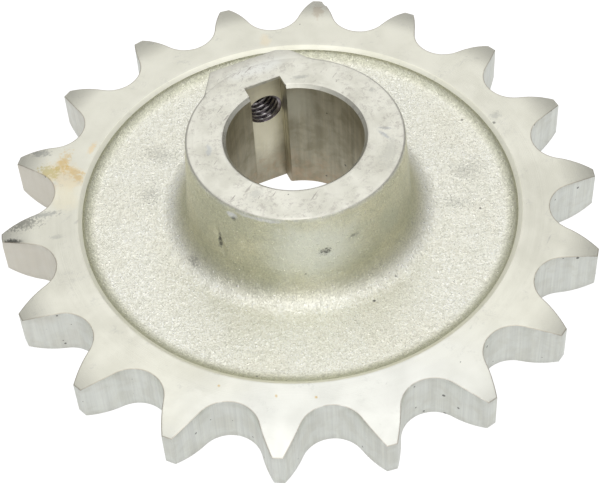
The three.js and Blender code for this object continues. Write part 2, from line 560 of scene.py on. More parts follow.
class Pits(Effect):
    """Scattered small pits and specks."""

    title = "Pits"
    inputs = (
        ("Place", Kind.VECTOR, (0, 0, 0)),
        ("Spacing", Kind.VALUE, 0.004),
        ("Radius", Kind.VALUE, 0.0004),
        ("Share", Kind.VALUE, 0.3),
    )
    outputs = (("Mask", Kind.VALUE),)

    @classmethod
    def wire(cls, board: Board, given: dict[str, Socket]) -> dict[str, Socket]:
        """Wires round spots of uneven size at the cells of a Voronoi Texture."""
        scale = board.sum("DIVIDE", 1.0, given["Spacing"])
        cells = board.place("ShaderNodeTexVoronoi", {"Vector": given["Place"], "Scale": scale})
        lot = board.place("ShaderNodeSeparateColor", {0: cells.outputs["Color"]})
        away = board.sum("MULTIPLY", cells.outputs["Distance"], given["Spacing"])
        unevenness = board.sum("MULTIPLY_ADD", lot.outputs[1], 0.8, 0.2)
        radius = board.sum("MULTIPLY", given["Radius"], unevenness)
        spot = board.spread(away, radius, board.sum("MULTIPLY", radius, 0.5))
        chosen = board.sum("LESS_THAN", lot.outputs[0], given["Share"])
        return {"Mask": board.sum("MULTIPLY", spot, chosen)}


class Scuffs(Effect):
    """Broken grey rubs and hair scratches that gather in patches."""

    title = "Scuffs"
    inputs = (("Place", Kind.VECTOR, (0, 0, 0)), ("Size", Kind.VALUE, 0.001), ("Amount", Kind.VALUE, 0.5))
    outputs = (("Mask", Kind.VALUE),)

    @classmethod
    def wire(cls, board: Board, given: dict[str, Socket]) -> dict[str, Socket]:
        """Wires grainy rubs and thin drawn lines, both kept to a few patches."""
        scale = board.sum("DIVIDE", 1.0, given["Size"])
        low = board.sum("MULTIPLY_ADD", given["Amount"], -0.25, 0.68)
        patch = board.noise(given["Place"], board.sum("MULTIPLY", scale, 0.22), 3.0, 0.6, 0.5)
        gathered = board.spread(patch, low, board.sum("ADD", low, 0.14))
        rub = board.spread(board.noise(given["Place"], scale, 6.0, 0.85, 0.2), 0.48, 0.62)
        feeds = {"Vector": given["Place"], "Angle": 0.9}
        turned = board.place("ShaderNodeVectorRotate", feeds, rotation_type="Z_AXIS").outputs[0]
        drawn = board.vector("MULTIPLY", turned, (1.0, 0.12, 1.0))
        scratch = board.spread(board.noise(drawn, board.sum("MULTIPLY", scale, 1.8), 2.0), 0.68, 0.74)
        both = board.sum("MAXIMUM", board.sum("MULTIPLY", rub, 0.55), scratch)
        return {"Mask": board.sum("MULTIPLY", gathered, both)}


class ToolMarks(Effect):
    """Fine lines left by a tool that moved across the given distance."""

    title = "Tool marks"
    inputs = (("Along", Kind.VALUE, 0.0), ("Pitch", Kind.VALUE, 0.0002))
    outputs = (("Height", Kind.VALUE),)

    @classmethod
    def wire(cls, board: Board, given: dict[str, Socket]) -> dict[str, Socket]:
        """Wires noise along one line."""
        steps = board.sum("DIVIDE", given["Along"], given["Pitch"])
        feeds = {"W": steps, "Scale": 1.0, "Detail": 3.0}
        return {"Height": board.place("ShaderNodeTexNoise", feeds, noise_dimensions="1D").outputs[0]}


class RaggedPatch(Effect):
    """One ragged patch around a given place, used for stains and for painted light and shade."""

    title = "RaggedPatch"
    inputs = (
        ("Place", Kind.VECTOR, (0, 0, 0)),
        ("Centre", Kind.VECTOR, (0, 0, 0)),
        ("Reach", Kind.VECTOR, (0.01, 0.01, 0.01)),
        ("Turn", Kind.VALUE, 0.0),
        ("Ragged", Kind.VALUE, 0.5),
        ("Size", Kind.VALUE, 0.002),
    )
    outputs = (("Mask", Kind.VALUE),)

    @classmethod
    def wire(cls, board: Board, given: dict[str, Socket]) -> dict[str, Socket]:
        """Wires an oval falloff, turned about the bore axis and broken up by noise."""
        offset = board.vector("SUBTRACT", given["Place"], given["Centre"])
        feeds = {"Vector": offset, "Angle": board.sum("MULTIPLY", given["Turn"], -1.0)}
        turned = board.place("ShaderNodeVectorRotate", feeds, rotation_type="Z_AXIS").outputs[0]
        away = board.vector("LENGTH", board.vector("DIVIDE", turned, given["Reach"]), output=1)
        rough = board.noise(given["Place"], board.sum("DIVIDE", 1.0, given["Size"]), 4.0, 0.65, 0.6)
        broken = board.sum("MULTIPLY_ADD", board.sum("SUBTRACT", rough, 0.5), given["Ragged"], away)
        return {"Mask": board.spread(broken, 1.0, 0.25)}


class WornEdgeAndGlint(Effect):
    """Worn edges and painted edge highlights, patchy along their length, from the wear_and_glint kept with
    the mesh.
    """

    title = "Worn edge and glint"
    inputs = (("Place", Kind.VECTOR, (0, 0, 0)), ("Size", Kind.VALUE, 0.003), ("Amount", Kind.VALUE, 0.5))
    outputs = (("Mask", Kind.VALUE),)

    @classmethod
    def wire(cls, board: Board, given: dict[str, Socket]) -> dict[str, Socket]:
        """Wires the mesh's wear_and_glint through a patchy noise."""
        wear_and_glint = board.place("ShaderNodeAttribute", attribute_name="wear_and_glint").outputs["Fac"]
        patchy = board.noise(given["Place"], board.sum("DIVIDE", 1.0, given["Size"]), 3.0, 0.6)
        low = board.sum("SUBTRACT", 0.85, given["Amount"])
        rub_and_glint = board.spread(patchy, low, board.sum("ADD", low, 0.25))
        return {"Mask": board.sum("MULTIPLY", wear_and_glint, rub_and_glint)}


# --------------------------------------------------------------------------------------------- finishes


@dataclass(frozen=True)
class Mark:
    """One mark at one place on the object: a stain, a smudge, or a patch of painted light and shade.

    Attributes:
        centre: its middle, in millimetres.
        reach: its half sizes, in millimetres.
        colour: its colour.
        strength: how strongly it covers, from 0 to 1.
        turn: angle of its long side about the bore axis, in degrees.
        ragged: how broken its edge is.
        size: size of the breaks, in millimetres.
    """

    centre: tuple[float, float, float]
    reach: tuple[float, float, float]
    colour: Colour
    strength: float
    turn: float = 0.0
    ragged: float = 1.2
    size: float = 2.0


# Colours of stains, dirt and of zinc and steel that has aged in different ways, and of painted light and
# shade.
RUST = (0.72, 0.51, 0.19, 1)
PALE_RUST = (0.86, 0.70, 0.44, 1)
OLIVE_RUST = (0.60, 0.52, 0.22, 1)
WARM_ZINC = (0.78, 0.73, 0.63, 1)
SOOT = (0.10, 0.10, 0.09, 1)
GREASE = (0.34, 0.35, 0.33, 1)
# Pale bluish: a bruise at a knock, and a painted highlight along the hub's top edge.
BRUISE_AND_EDGE_GLINT = (0.86, 0.88, 0.97, 1)
# Lighter, cleaner zinc; on the rim's near side it is a painted reflection.
CLEAN_ZINC_AND_SHEEN = (0.86, 0.866, 0.82, 1)
# Lighter, cooler zinc laid on the hub's side towards the camera as painted light.
PAINTED_FRONT_LIGHT = (0.88, 0.91, 0.87, 1)
# Darker zinc laid on the left and right sides as painted shade.
PAINTED_SIDE_SHADE = (0.70, 0.69, 0.60, 1)
YELLOWED_ZINC = (0.88, 0.82, 0.62, 1)
BROWN_DIRT = (0.55, 0.45, 0.33, 1)
BLUE_SMUDGE = (0.42, 0.46, 0.5, 1)
GREY_SMUDGE = (0.50, 0.53, 0.56, 1)
OLIVE_ZINC = (0.58, 0.60, 0.48, 1)
BRIGHT_STEEL = (1.0, 0.96, 0.77, 1)
BROWNED_STEEL = (0.58, 0.44, 0.30, 1)
# Lighter steel laid on the upper bore wall as a painted glint.
PAINTED_BORE_GLINT = (0.66, 0.65, 0.54, 1)
DARK_LINE = (0.24, 0.21, 0.15, 1)
BROWN_LINE = (0.30, 0.26, 0.18, 1)


@dataclass(frozen=True)
class Finish:
    """A metal finish with its colours, its sheen and its stains.

    Attributes:
        title: name of the material.
        base: its main colour.
        shade: the colour of its cloudy patches.
        metallic: how metallic it is, from 0 to 1.
        roughness: its roughness where nothing changes it.
        marks: stains, smudges and patches of painted light and shade at known places.
    """

    title: str
    base: Colour
    shade: Colour
    metallic: float = 1.0
    roughness: float = 0.4
    marks: tuple[Mark, ...] = ()

    def start(self) -> tuple[Board, bpy.types.Material, Socket]:
        """Opens the material.

        Returns:
            Its board, the material, and the place on the object in metres.
        """
        material = bpy.data.materials.new(self.title)
        material.use_nodes = True
        material.node_tree.nodes["Principled BSDF"].inputs["Metallic"].default_value = self.metallic
        board = Board(material.node_tree)
        return board, material, board.place("ShaderNodeTexCoord").outputs["Object"]

    def with_marks(self, board: Board, place: Socket, colour: Socket) -> Socket:
        """Lays the finish's marks over a colour.

        Args:
            board: the material's board.
            place: the place on the object.
            colour: the colour under the marks.

        Returns:
            The colour with its marks.
        """
        for mark in self.marks:
            centre = tuple(value * MM for value in mark.centre)
            reach = tuple(value * MM for value in mark.reach)
            feeds = {"Centre": centre, "Reach": reach, "Turn": math.radians(mark.turn)}
            feeds |= {"Ragged": mark.ragged, "Size": mark.size * MM}
            mask = board.mask(RaggedPatch, Place=place, **feeds)
            colour = board.cover(colour, mask, mark.strength, mark.colour)
        return colour

    def close(
        self,
        board: Board,
        material: bpy.types.Material,
        colour: Socket,
        rough: Socket,
        height: Socket,
        depth: float,
    ) -> bpy.types.Material:
        """Feeds the shader.

        Args:
            board: the material's board.
            material: the material.
            colour: its colour.
            rough: its roughness.
            height: its relief, from 0 to about 1.
            depth: how deep the relief is, in millimetres.

        Returns:
            The finished material.
        """
        shader = material.node_tree.nodes["Principled BSDF"]
        bump = board.place("ShaderNodeBump", {"Height": height, "Distance": depth * MM, "Strength": 1.0})
        board.feed(shader.inputs["Base Color"], colour)
        board.feed(shader.inputs["Roughness"], rough)
        board.feed(shader.inputs["Normal"], bump.outputs[0])
        return material

    def make(self) -> bpy.types.Material:
        """Makes the material."""
        raise NotImplementedError


@dataclass(frozen=True)
class TurnedZinc(Finish):
    """Zinc over a turned face: faint circles, cloudy tone, a few specks, scuffs and worn edges."""

    cloud_size: float = 9.0
    fine_size: float = 0.35
    fine_tone: float = 0.05
    ring_pitch: float = 0.16
    ring_depth: float = 0.03
    speck_spacing: float = 4.5
    speck_radius: float = 0.35
    speck_share: float = 0.16
    speck_strength: float = 0.75
    edge: Colour = (0.40, 0.33, 0.24, 1)
    edge_size: float = 2.4
    edge_amount: float = 0.62
    edge_strength: float = 0.45
    scuff: Colour = (0.42, 0.42, 0.40, 1)
    scuff_size: float = 1.6
    scuff_amount: float = 0.6
    scuff_strength: float = 0.45

    def make(self) -> bpy.types.Material:
        """Makes the material."""
        board, material, place = self.start()
        rings = board.effect(ToolMarks, Along=board.from_axis(place), Pitch=self.ring_pitch * MM)["Height"]
        cloud = board.mask(SoftPatches, Place=place, Size=self.cloud_size * MM, Low=0.35, High=0.7)
        fine = board.noise(place, 1 / (self.fine_size * MM), 2.0, 0.6)
        sizes = {"Spacing": self.speck_spacing * MM, "Radius": self.speck_radius * MM}
        specks = board.mask(Pits, Place=place, Share=self.speck_share, **sizes)
        edge = board.mask(WornEdgeAndGlint, Place=place, Size=self.edge_size * MM, Amount=self.edge_amount)
        scuffs = board.mask(Scuffs, Place=place, Size=self.scuff_size * MM, Amount=self.scuff_amount)
        colour = board.blend(cloud, self.base, self.shade)
        colour = board.toned(colour, board.sum("MULTIPLY_ADD", fine, self.fine_tone, 1 - self.fine_tone / 2))
        colour = self.with_marks(board, place, colour)
        colour = board.cover(colour, scuffs, self.scuff_strength, self.scuff)
        colour = board.cover(colour, specks, self.speck_strength, SOOT)
        colour = board.cover(colour, edge, self.edge_strength, self.edge)
        rough = board.sum("MULTIPLY_ADD", fine, 0.1, self.roughness - 0.05)
        rough = board.sum("MULTIPLY_ADD", cloud, 0.08, rough)
        height = board.sum("MULTIPLY_ADD", fine, 0.15, rings)
        height = board.sum("MULTIPLY_ADD", specks, -1.0, height)
        return self.close(board, material, colour, rough, height, self.ring_depth)


@dataclass(frozen=True)
class CastZinc(Finish):
    """Zinc over sand-cast iron: wormy grain, tinted patches, painted glints on the grain's crests and painted
    shade in its hollows.

    A darker yellow-green tint, partly the zinc's own tint and partly painted shade, covers the side wall of
    the hub, and painted shade darkens the fillet of the recess; both are told apart from the web by their
    distance from the bore's axis. The painted glints are brighter at the hub's foot.
    """

    cloud_size: float = 14.0
    tint: Colour = (0.60, 0.64, 0.58, 1)
    tint_size: float = 7.0
    tint_strength: float = 0.15
    # Painted shade in the grain's hollows and painted glints on its crests, stronger at the hub's foot.
    hollow_shade: Colour = (0.40, 0.40, 0.31, 1)
    hollow_shade_strength: float = 0.3
    crest_glint: Colour = (1.0, 0.99, 0.94, 1)
    crest_glint_strength: float = 0.5
    foot_glint_strength: float = 0.4
    # Darker yellow-green tint of the hub's side wall, partly zinc tint and partly painted shade, and painted
    # shade on the recess fillet.
    wall_tint_and_shade: Colour = (0.76, 0.74, 0.56, 1)
    deep_tint_and_shade: Colour = (0.63, 0.63, 0.48, 1)
    wall_shade_start: float = 33.8
    wall_shade_full: float = 29.6
    recess_shade_start: float = 53.4
    recess_shade_full: float = 56.0
    recess_shade_strength: float = 0.8
    foot_start: float = 39.0
    foot_full: float = 34.0
    sand_size: float = 0.45
    sand_tone: float = 0.1
    pit_spacing: float = 5.5
    pit_radius: float = 0.45
    pit_share: float = 0.14
    pit_strength: float = 0.7
    # Worn edges made lighter and bluish, partly as a painted edge highlight.
    edge: Colour = (0.80, 0.82, 0.84, 1)
    edge_size: float = 3.0
    edge_amount: float = 0.55
    edge_strength: float = 0.25
    grain_size: float = 0.55
    grain_depth: float = 0.13

    def make(self) -> bpy.types.Material:
        """Makes the material."""
        board, material, place = self.start()
        grain = board.effect(CastGrain, Place=place, Size=self.grain_size * MM)
        cloud = board.mask(SoftPatches, Place=place, Size=self.cloud_size * MM, Low=0.35, High=0.7)
        veil = board.mask(SoftPatches, Place=place, Size=self.tint_size * MM, Low=0.5, High=0.75)
        sizes = {"Spacing": self.pit_spacing * MM, "Radius": self.pit_radius * MM}
        pits = board.mask(Pits, Place=place, Share=self.pit_share, **sizes)
        edge = board.mask(WornEdgeAndGlint, Place=place, Size=self.edge_size * MM, Amount=self.edge_amount)
        radius = board.from_axis(place)
        wall_shade = board.spread(radius, self.wall_shade_start * MM, self.wall_shade_full * MM)
        recess_shade = board.spread(radius, self.recess_shade_start * MM, self.recess_shade_full * MM)
        foot = board.spread(radius, self.foot_start * MM, self.foot_full * MM)
        foot = board.sum("MULTIPLY", foot, board.sum("SUBTRACT", 1.0, wall_shade))
        colour = board.blend(cloud, self.base, self.shade)
        # Painted shade, partly zinc tint: the hub's side wall made darker and yellow-green.
        colour = board.blend(wall_shade, colour, board.blend(cloud, self.wall_tint_and_shade, self.deep_tint_and_shade))
        # Painted shade: the recess fillet made darker.
        colour = board.cover(colour, recess_shade, self.recess_shade_strength, self.deep_tint_and_shade)
        colour = board.cover(colour, veil, self.tint_strength, self.tint)
        # Painted shade in the grain's hollows.
        colour = board.cover(colour, grain["Hollow shade"], self.hollow_shade_strength, self.hollow_shade)
        # Painted glints on the grain's crests, brighter at the hub's foot.
        bright = board.sum("MULTIPLY_ADD", foot, self.foot_glint_strength, self.crest_glint_strength)
        colour = board.cover(colour, grain["Crest glint"], bright, self.crest_glint)
        sand = board.noise(place, 1 / (self.sand_size * MM), 3.0, 0.7)
        colour = board.toned(colour, board.spread(sand, 0.38, 0.62, 1 - self.sand_tone, 1 + self.sand_tone))
        colour = self.with_marks(board, place, colour)
        colour = board.cover(colour, pits, self.pit_strength, SOOT)
        # Edges made lighter and bluish: partly worn metal, partly a painted edge highlight.
        colour = board.cover(colour, edge, self.edge_strength, self.edge)
        rough = board.spread(grain["Height"], 0.5, 1.4, self.roughness + 0.12, self.roughness - 0.08)
        height = board.sum("MULTIPLY_ADD", pits, -1.5, grain["Height"])
        return self.close(board, material, colour, rough, height, self.grain_depth)


@dataclass(frozen=True)
class StrokedMetal(Finish):
    """Metal cut by strokes along +Z, such as the tooth walls, the bore and the keyway."""

    grain: tuple[float, float, float] = (1.0, 1.0, 0.03)
    stroke: float = 0.5
    stroke_tone: float = 0.05
    stroke_depth: float = 0.01
    cloud_size: float = 5.0
    speck_spacing: float = 3.2
    speck_radius: float = 0.55
    speck_share: float = 0.3
    speck_strength: float = 0.8
    edge: Colour = (0.30, 0.26, 0.20, 1)
    edge_size: float = 2.4
    edge_amount: float = 0.5
    edge_strength: float = 0.5

    def make(self) -> bpy.types.Material:
        """Makes the material."""
        board, material, place = self.start()
        drawn = board.vector("MULTIPLY", place, self.grain)
        broad = board.noise(drawn, 1 / (4 * self.stroke * MM), 3.0, 0.6)
        strokes = board.noise(drawn, 1 / (self.stroke * MM), 3.0, 0.6)
        cloud = board.mask(SoftPatches, Place=place, Size=self.cloud_size * MM, Low=0.38, High=0.68)
        sizes = {"Spacing": self.speck_spacing * MM, "Radius": self.speck_radius * MM}
        specks = board.mask(Pits, Place=place, Share=self.speck_share, **sizes)
        edge = board.mask(WornEdgeAndGlint, Place=place, Size=self.edge_size * MM, Amount=self.edge_amount)
        colour = board.blend(cloud, self.base, self.shade)
        both = board.sum("MULTIPLY_ADD", broad, 0.6, board.sum("MULTIPLY", strokes, 0.4))
        colour = board.toned(colour, board.spread(both, 0.3, 0.7, 1 - self.stroke_tone, 1 + self.stroke_tone))
        colour = self.with_marks(board, place, colour)
        colour = board.cover(colour, specks, self.speck_strength, SOOT)
        colour = board.cover(colour, edge, self.edge_strength, self.edge)
        rough = board.spread(strokes, 0.3, 0.7, self.roughness - 0.07, self.roughness + 0.1)
        height = board.sum("MULTIPLY_ADD", specks, -2.0, strokes)
        return self.close(board, material, colour, rough, height, self.stroke_depth)


@dataclass(frozen=True)
class DarkSteel(Finish):
    """Oiled or blackened steel with lightened worn parts, a painted highlight on the oiled thread's crests,
    and a film of dust.
    """

    cloud_size: float = 1.6
    fine_size: float = 0.12
    fine_depth: float = 0.006
    # Lighter colour on the worn parts: worn metal on the screw, a painted highlight on the thread's crests.
    rub_and_glint: Colour = (0.42, 0.40, 0.40, 1)
    rub_and_glint_size: float = 1.0
    rub_and_glint_amount: float = 0.5
    rub_and_glint_strength: float = 0.7

    def make(self) -> bpy.types.Material:
        """Makes the material."""
        board, material, place = self.start()
        cloud = board.mask(SoftPatches, Place=place, Size=self.cloud_size * MM, Low=0.4, High=0.65)
        fine = board.noise(place, 1 / (self.fine_size * MM), 3.0, 0.6)
        edge = board.mask(WornEdgeAndGlint, Place=place, Size=self.rub_and_glint_size * MM, Amount=self.rub_and_glint_amount)
        colour = board.blend(cloud, self.base, self.shade)
        colour = board.cover(colour, edge, self.rub_and_glint_strength, self.rub_and_glint)
        rough = board.spread(fine, 0.3, 0.7, self.roughness - 0.08, self.roughness + 0.12)
        return self.close(board, material, colour, rough, fine, self.fine_depth)


# ----------------------------------------------------------------- stains, painted light and shade, knocks and finishes of this wheel


# On the rim's upper face: painted light at the near side and painted shade at the sides first, then rust,
# smears and single specks.
RIM_MARKS = (
    # Painted reflection: the rim's near side, towards the camera, made lighter.
    Mark(polar(66.0, -104, RIM_TOP), (62, 30, 30), CLEAN_ZINC_AND_SHEEN, 0.85, turn=-14, ragged=0.4, size=12),
    # Painted shade: the rim's left and right sides made darker.
    Mark(polar(62.0, 170, RIM_TOP), (15, 20, 6), PAINTED_SIDE_SHADE, 0.62, turn=170, ragged=0.5, size=10),
    Mark(polar(63.0, -32, RIM_TOP), (15, 28, 6), PAINTED_SIDE_SHADE, 0.5, turn=-32, ragged=0.5, size=10),
    Mark(polar(64.5, 146, RIM_TOP), (9.0, 6.5, 4), PALE_RUST, 0.45, turn=140, ragged=1.8, size=3),
    Mark(polar(62.0, 152, RIM_TOP), (5.0, 7.0, 4), YELLOWED_ZINC, 0.5, turn=150, ragged=1.6, size=4),
    Mark(polar(65.5, 142, RIM_TOP), (2.2, 5.0, 3), RUST, 0.6, turn=140, ragged=3.2, size=1.3),
    Mark(polar(61.5, 144.5, RIM_TOP), (5.4, 2.2, 3), RUST, 0.6, turn=110, ragged=3.0, size=1.3),
    Mark(polar(68.3, 145.3, RIM_TOP), (4.4, 3.0, 3), OLIVE_RUST, 0.65, turn=150, ragged=3.4, size=0.9),
    Mark(polar(59.9, 135.5, RIM_TOP), (1.1, 3.4, 3), PALE_RUST, 0.7, turn=135, ragged=1.8, size=1.2),
    Mark(polar(73.0, 140, 14.2), (3.5, 1.8, 2), GREASE, 0.6, turn=140, ragged=2.8, size=0.8),
    Mark(polar(75.6, 163.6, 13.6), (3.6, 0.9, 2), SOOT, 0.9, turn=140, ragged=2, size=0.8),
    Mark(polar(72.6, 159.8, 14.2), (6.0, 2.6, 2), SOOT, 0.55, turn=160, ragged=3.4, size=0.7),
    Mark(polar(67.5, 158.0, RIM_TOP), (6.0, 1.2, 2), GREASE, 0.6, turn=165, ragged=3.0, size=0.7),
    Mark(polar(64.0, 165.0, RIM_TOP), (2.4, 1.0, 2), GREASE, 0.3, turn=165, ragged=2.4, size=0.8),
    Mark(polar(61.0, 75, RIM_TOP), (3.5, 2.2, 3), PALE_RUST, 0.3, turn=75, size=3),
    Mark(polar(72.5, 61.6, 14.3), (5.0, 2.2, 3), BROWN_DIRT, 0.45, turn=62, ragged=2.4, size=1.2),
    Mark(polar(62.5, -110.5, RIM_TOP), (0.5, 0.5, 1), RUST, 0.8, ragged=0.8, size=0.6),
    Mark(polar(62.0, -119.3, RIM_TOP), (0.45, 0.6, 1), RUST, 0.7, ragged=0.8, size=0.6),
    Mark(polar(61.5, -132.6, RIM_TOP), (0.5, 0.5, 1), RUST, 0.7, ragged=0.8, size=0.6),
    Mark(polar(58.7, 2, RIM_TOP), (0.6, 0.6, 2), SOOT, 0.7),
    Mark(polar(60.2, 4, RIM_TOP), (2.6, 1.6, 2), GREASE, 0.35, turn=3, ragged=2.4, size=0.9),
)
# On the tooth walls around the rusted teeth.
WALL_MARKS = (Mark(polar(74, 152, 7), (50, 50, 50), WARM_ZINC, 0.75, ragged=0.6, size=9),)
# On the hub's end face and the top of the screw pad.
HUB_MARKS = (
    # Painted shade: the hub face's right side, towards the front, made darker.
    Mark(polar(24.2, -46, HUB_TOP), (4.5, 10, 2), PAINTED_SIDE_SHADE, 0.8, turn=-46, ragged=0.9, size=3),
    Mark(polar(24.6, -40, HUB_TOP), (3.2, 7, 2), GREASE, 0.22, turn=-40, ragged=3.2, size=0.8),
    # Painted shade: the hub face's left side made darker.
    Mark(polar(23.5, 172, HUB_TOP), (3.5, 6, 2), PAINTED_SIDE_SHADE, 0.4, turn=172, ragged=0.9, size=3),
    # A lighter, cleaner patch on the top of the screw pad.
    Mark((1.0, 26.5, HUB_TOP), (12, 4, 2), CLEAN_ZINC_AND_SHEEN, 0.8, ragged=0.5, size=5),
    Mark(polar(22.3, -25.5, HUB_TOP), (0.7, 2.6, 2), BLUE_SMUDGE, 0.55, turn=20, ragged=2, size=0.9),
    Mark(polar(22.8, -20, HUB_TOP), (2.4, 0.6, 2), BLUE_SMUDGE, 0.45, turn=-30, ragged=2, size=0.9),
    Mark(polar(20.6, 62, HUB_TOP), (3.0, 0.9, 2), GREASE, 0.45, turn=-10, ragged=2, size=1.0),
    Mark(polar(24.9, 13.4, HUB_TOP), (1.0, 1.0, 2), GREASE, 0.4, ragged=2, size=0.8),
    Mark(polar(22.0, 167, HUB_TOP), (2.4, 0.9, 2), GREY_SMUDGE, 0.5, turn=70, ragged=2, size=1.2),
    Mark(polar(21.5, -141, HUB_TOP), (2.6, 1.8, 2), GREASE, 0.3, turn=40, ragged=2, size=1.6),
)
# On the hub's side, painted front light and an olive tint before knocks and smears; on the web, mostly dirt
# and pits.
SIDE_MARKS = (
    # Painted light: the hub's side towards the camera made lighter and cooler.
    Mark(polar(29.0, -104, 28), (18, 18, 15), PAINTED_FRONT_LIGHT, 0.7, ragged=0.6, size=9),
    Mark(polar(28.6, -62, 26), (7, 7, 9), OLIVE_ZINC, 0.6, ragged=0.8, size=6),
    Mark((-26.4, -11.3, 25.2), (0.9, 0.9, 3.8), SOOT, 0.95, ragged=2.2, size=0.6),
    Mark((-5.1, -28.2, 27.2), (2.3, 0.9, 1.3), SOOT, 0.85, ragged=3.2, size=0.5),
    Mark((2.7, -28.3, 29.6), (1.8, 0.8, 0.8), SOOT, 0.5, ragged=3.2, size=0.5),
    Mark(polar(28.0, -147.3, 35.5), (1.0, 1.0, 0.8), SOOT, 0.8, ragged=0.8, size=0.8),
    Mark(polar(27.9, -148.0, 36.8), (2.2, 2.2, 1.6), BRUISE_AND_EDGE_GLINT, 0.8, ragged=1.2, size=1.6),
    # Painted highlight: a pale bluish strip along the hub's top edge at the left front.
    Mark(polar(27.5, -132, 38.6), (2.0, 9.0, 0.9), BRUISE_AND_EDGE_GLINT, 0.5, turn=-132, ragged=1.4, size=2),
    Mark(polar(45.5, -10, WEB_TOP), (4.5, 3.5, 2), GREASE, 0.35, ragged=6.5, size=0.55),
    Mark(polar(41.0, -24, WEB_TOP), (4.0, 2.0, 2), GREASE, 0.35, turn=-30, ragged=6.5, size=0.55),
    Mark(polar(43.0, 128, WEB_TOP), (5.0, 3.0, 2), GREASE, 0.35, turn=128, ragged=6.5, size=0.55),
    Mark(polar(40.0, 148, WEB_TOP), (3.0, 3.0, 2), GREASE, 0.4, ragged=6.5, size=0.55),
    Mark(polar(47.3, -27, WEB_TOP), (0.5, 0.5, 1), SOOT, 0.8, ragged=0.4),
    Mark(polar(53.3, 9.5, 12.3), (0.5, 0.5, 1), SOOT, 0.8, ragged=0.4),
    Mark(polar(55.3, -125, 12.8), (0.5, 0.5, 1), SOOT, 0.8, ragged=0.4),
    Mark(polar(37.0, -83.8, WEB_TOP), (0.55, 0.55, 1), SOOT, 0.9, ragged=0.4),
    Mark(polar(34.5, -69.2, 12.5), (0.5, 0.5, 1), SOOT, 0.7, ragged=0.4),
    Mark(polar(32.8, -169.9, 13.4), (1.4, 2.6, 2), SOOT, 0.4, ragged=3.2, size=0.6),
)
# In the bore: the bright floor of the keyway, the browned lower end, a painted glint on the upper wall,
# and dark lines down the keyway's walls.
BORE_MARKS = (
    Mark((0, 21, 26), (9.0, 5.0, 24), BRIGHT_STEEL, 1.0, ragged=0.3, size=4),
    Mark((0, 4, 4), (22, 22, 16), BROWNED_STEEL, 0.8, ragged=1.2, size=2.2),
    # Painted glint: a lighter patch on the upper bore wall facing the camera.
    Mark((7, 15.5, 33), (7, 5, 8), PAINTED_BORE_GLINT, 0.6, ragged=0.8, size=3),
    # Dark lines down the keyway's walls, one at the floor's corner.
    Mark((5, 19.4, 22), (0.6, 0.28, 22), DARK_LINE, 0.85, ragged=0.2, size=3),
    Mark((5, 20.6, 22), (0.6, 0.3, 22), BROWN_LINE, 0.7, ragged=0.2, size=3),
    Mark((-5, 18.6, 22), (0.6, 0.3, 22), BROWN_LINE, 0.7, ragged=0.2, size=3),
)
# Knocks that go into the metal, at the marks that show them.
HUB_DENTS = (
    Dent((-26.7, -10.0, 28.4), (-26.1, -12.7, 21.5), (0.45, 0.2, 0.0), 0.7),
    Dent((-6.6, -28.0, 27.6), (-3.6, -28.4, 26.8), (0.05, 0.35, 0.0), 0.9),
    Dent(polar(28.1, -147.8, 36.2), polar(28.0, -147.0, 35.4), (0.4, 0.26, 0.0), 0.8),
)
RIM_DENTS = (
    Dent(polar(78.0, 163.0, 12.4), polar(74.0, 164.2, 14.0), (0.25, -0.1, -0.25), 0.8),
    Dent(polar(77.8, 60.8, 13.0), polar(76.6, 60.2, 13.4), (-0.2, -0.2, -0.2), 0.8),
)
TURNED_FACES = TurnedZinc(
    "zinc on turned faces", (0.82, 0.81, 0.71, 1), (0.79, 0.78, 0.68, 1), marks=RIM_MARKS
)
# A lighter, less metallic copy of the turned zinc: a painted highlight on the recess lip.
LIT_RECESS_LIP = TurnedZinc(
    "zinc on the recess lip, lightened as a painted highlight", (1.0, 0.99, 0.86, 1), (0.97, 0.96, 0.82, 1), metallic=0.65, roughness=0.45
)
TOOTH_WALLS = StrokedMetal(
    "zinc on the tooth walls",
    (0.855, 0.875, 0.825, 1),
    (0.79, 0.80, 0.735, 1),
    roughness=0.45,
    marks=WALL_MARKS,
    stroke=0.4,
    stroke_tone=0.08,
    speck_share=0.6,
)
CAST_SKIN = CastZinc(
    "zinc on the casting",
    (1.0, 0.99, 0.875, 1),
    (0.98, 0.96, 0.835, 1),
    metallic=0.92,
    roughness=0.3,
    marks=SIDE_MARKS,
)
HUB_FACE = TurnedZinc(
    "zinc on the hub face",
    (0.83, 0.82, 0.73, 1),
    (0.74, 0.73, 0.64, 1),
    marks=HUB_MARKS,
    cloud_size=6.0,
    speck_spacing=3.2,
    edge=(0.62, 0.60, 0.54, 1),
    scuff=(0.42, 0.39, 0.35, 1),
    scuff_amount=1.1,
    scuff_strength=0.9,
)
BORED_STEEL = StrokedMetal(
    "bored steel",
    (0.52, 0.49, 0.38, 1),
    (0.40, 0.37, 0.27, 1),
    roughness=0.5,
    marks=BORE_MARKS,
    stroke=0.35,
    stroke_tone=0.16,
)
# Its crests are lightened as a painted highlight.
OILED_THREAD = DarkSteel(
    "oiled thread",
    (0.34, 0.30, 0.32, 1),
    (0.15, 0.125, 0.145, 1),
    roughness=0.3,
    rub_and_glint=(0.80, 0.78, 0.76, 1),
    rub_and_glint_amount=0.7,
)
BLACK_SCREW = DarkSteel("blackened screw", (0.06, 0.058, 0.062, 1), (0.035, 0.033, 0.036, 1), roughness=0.35)


# ---------------------------------------------------------------------------------------- the wheel's pieces


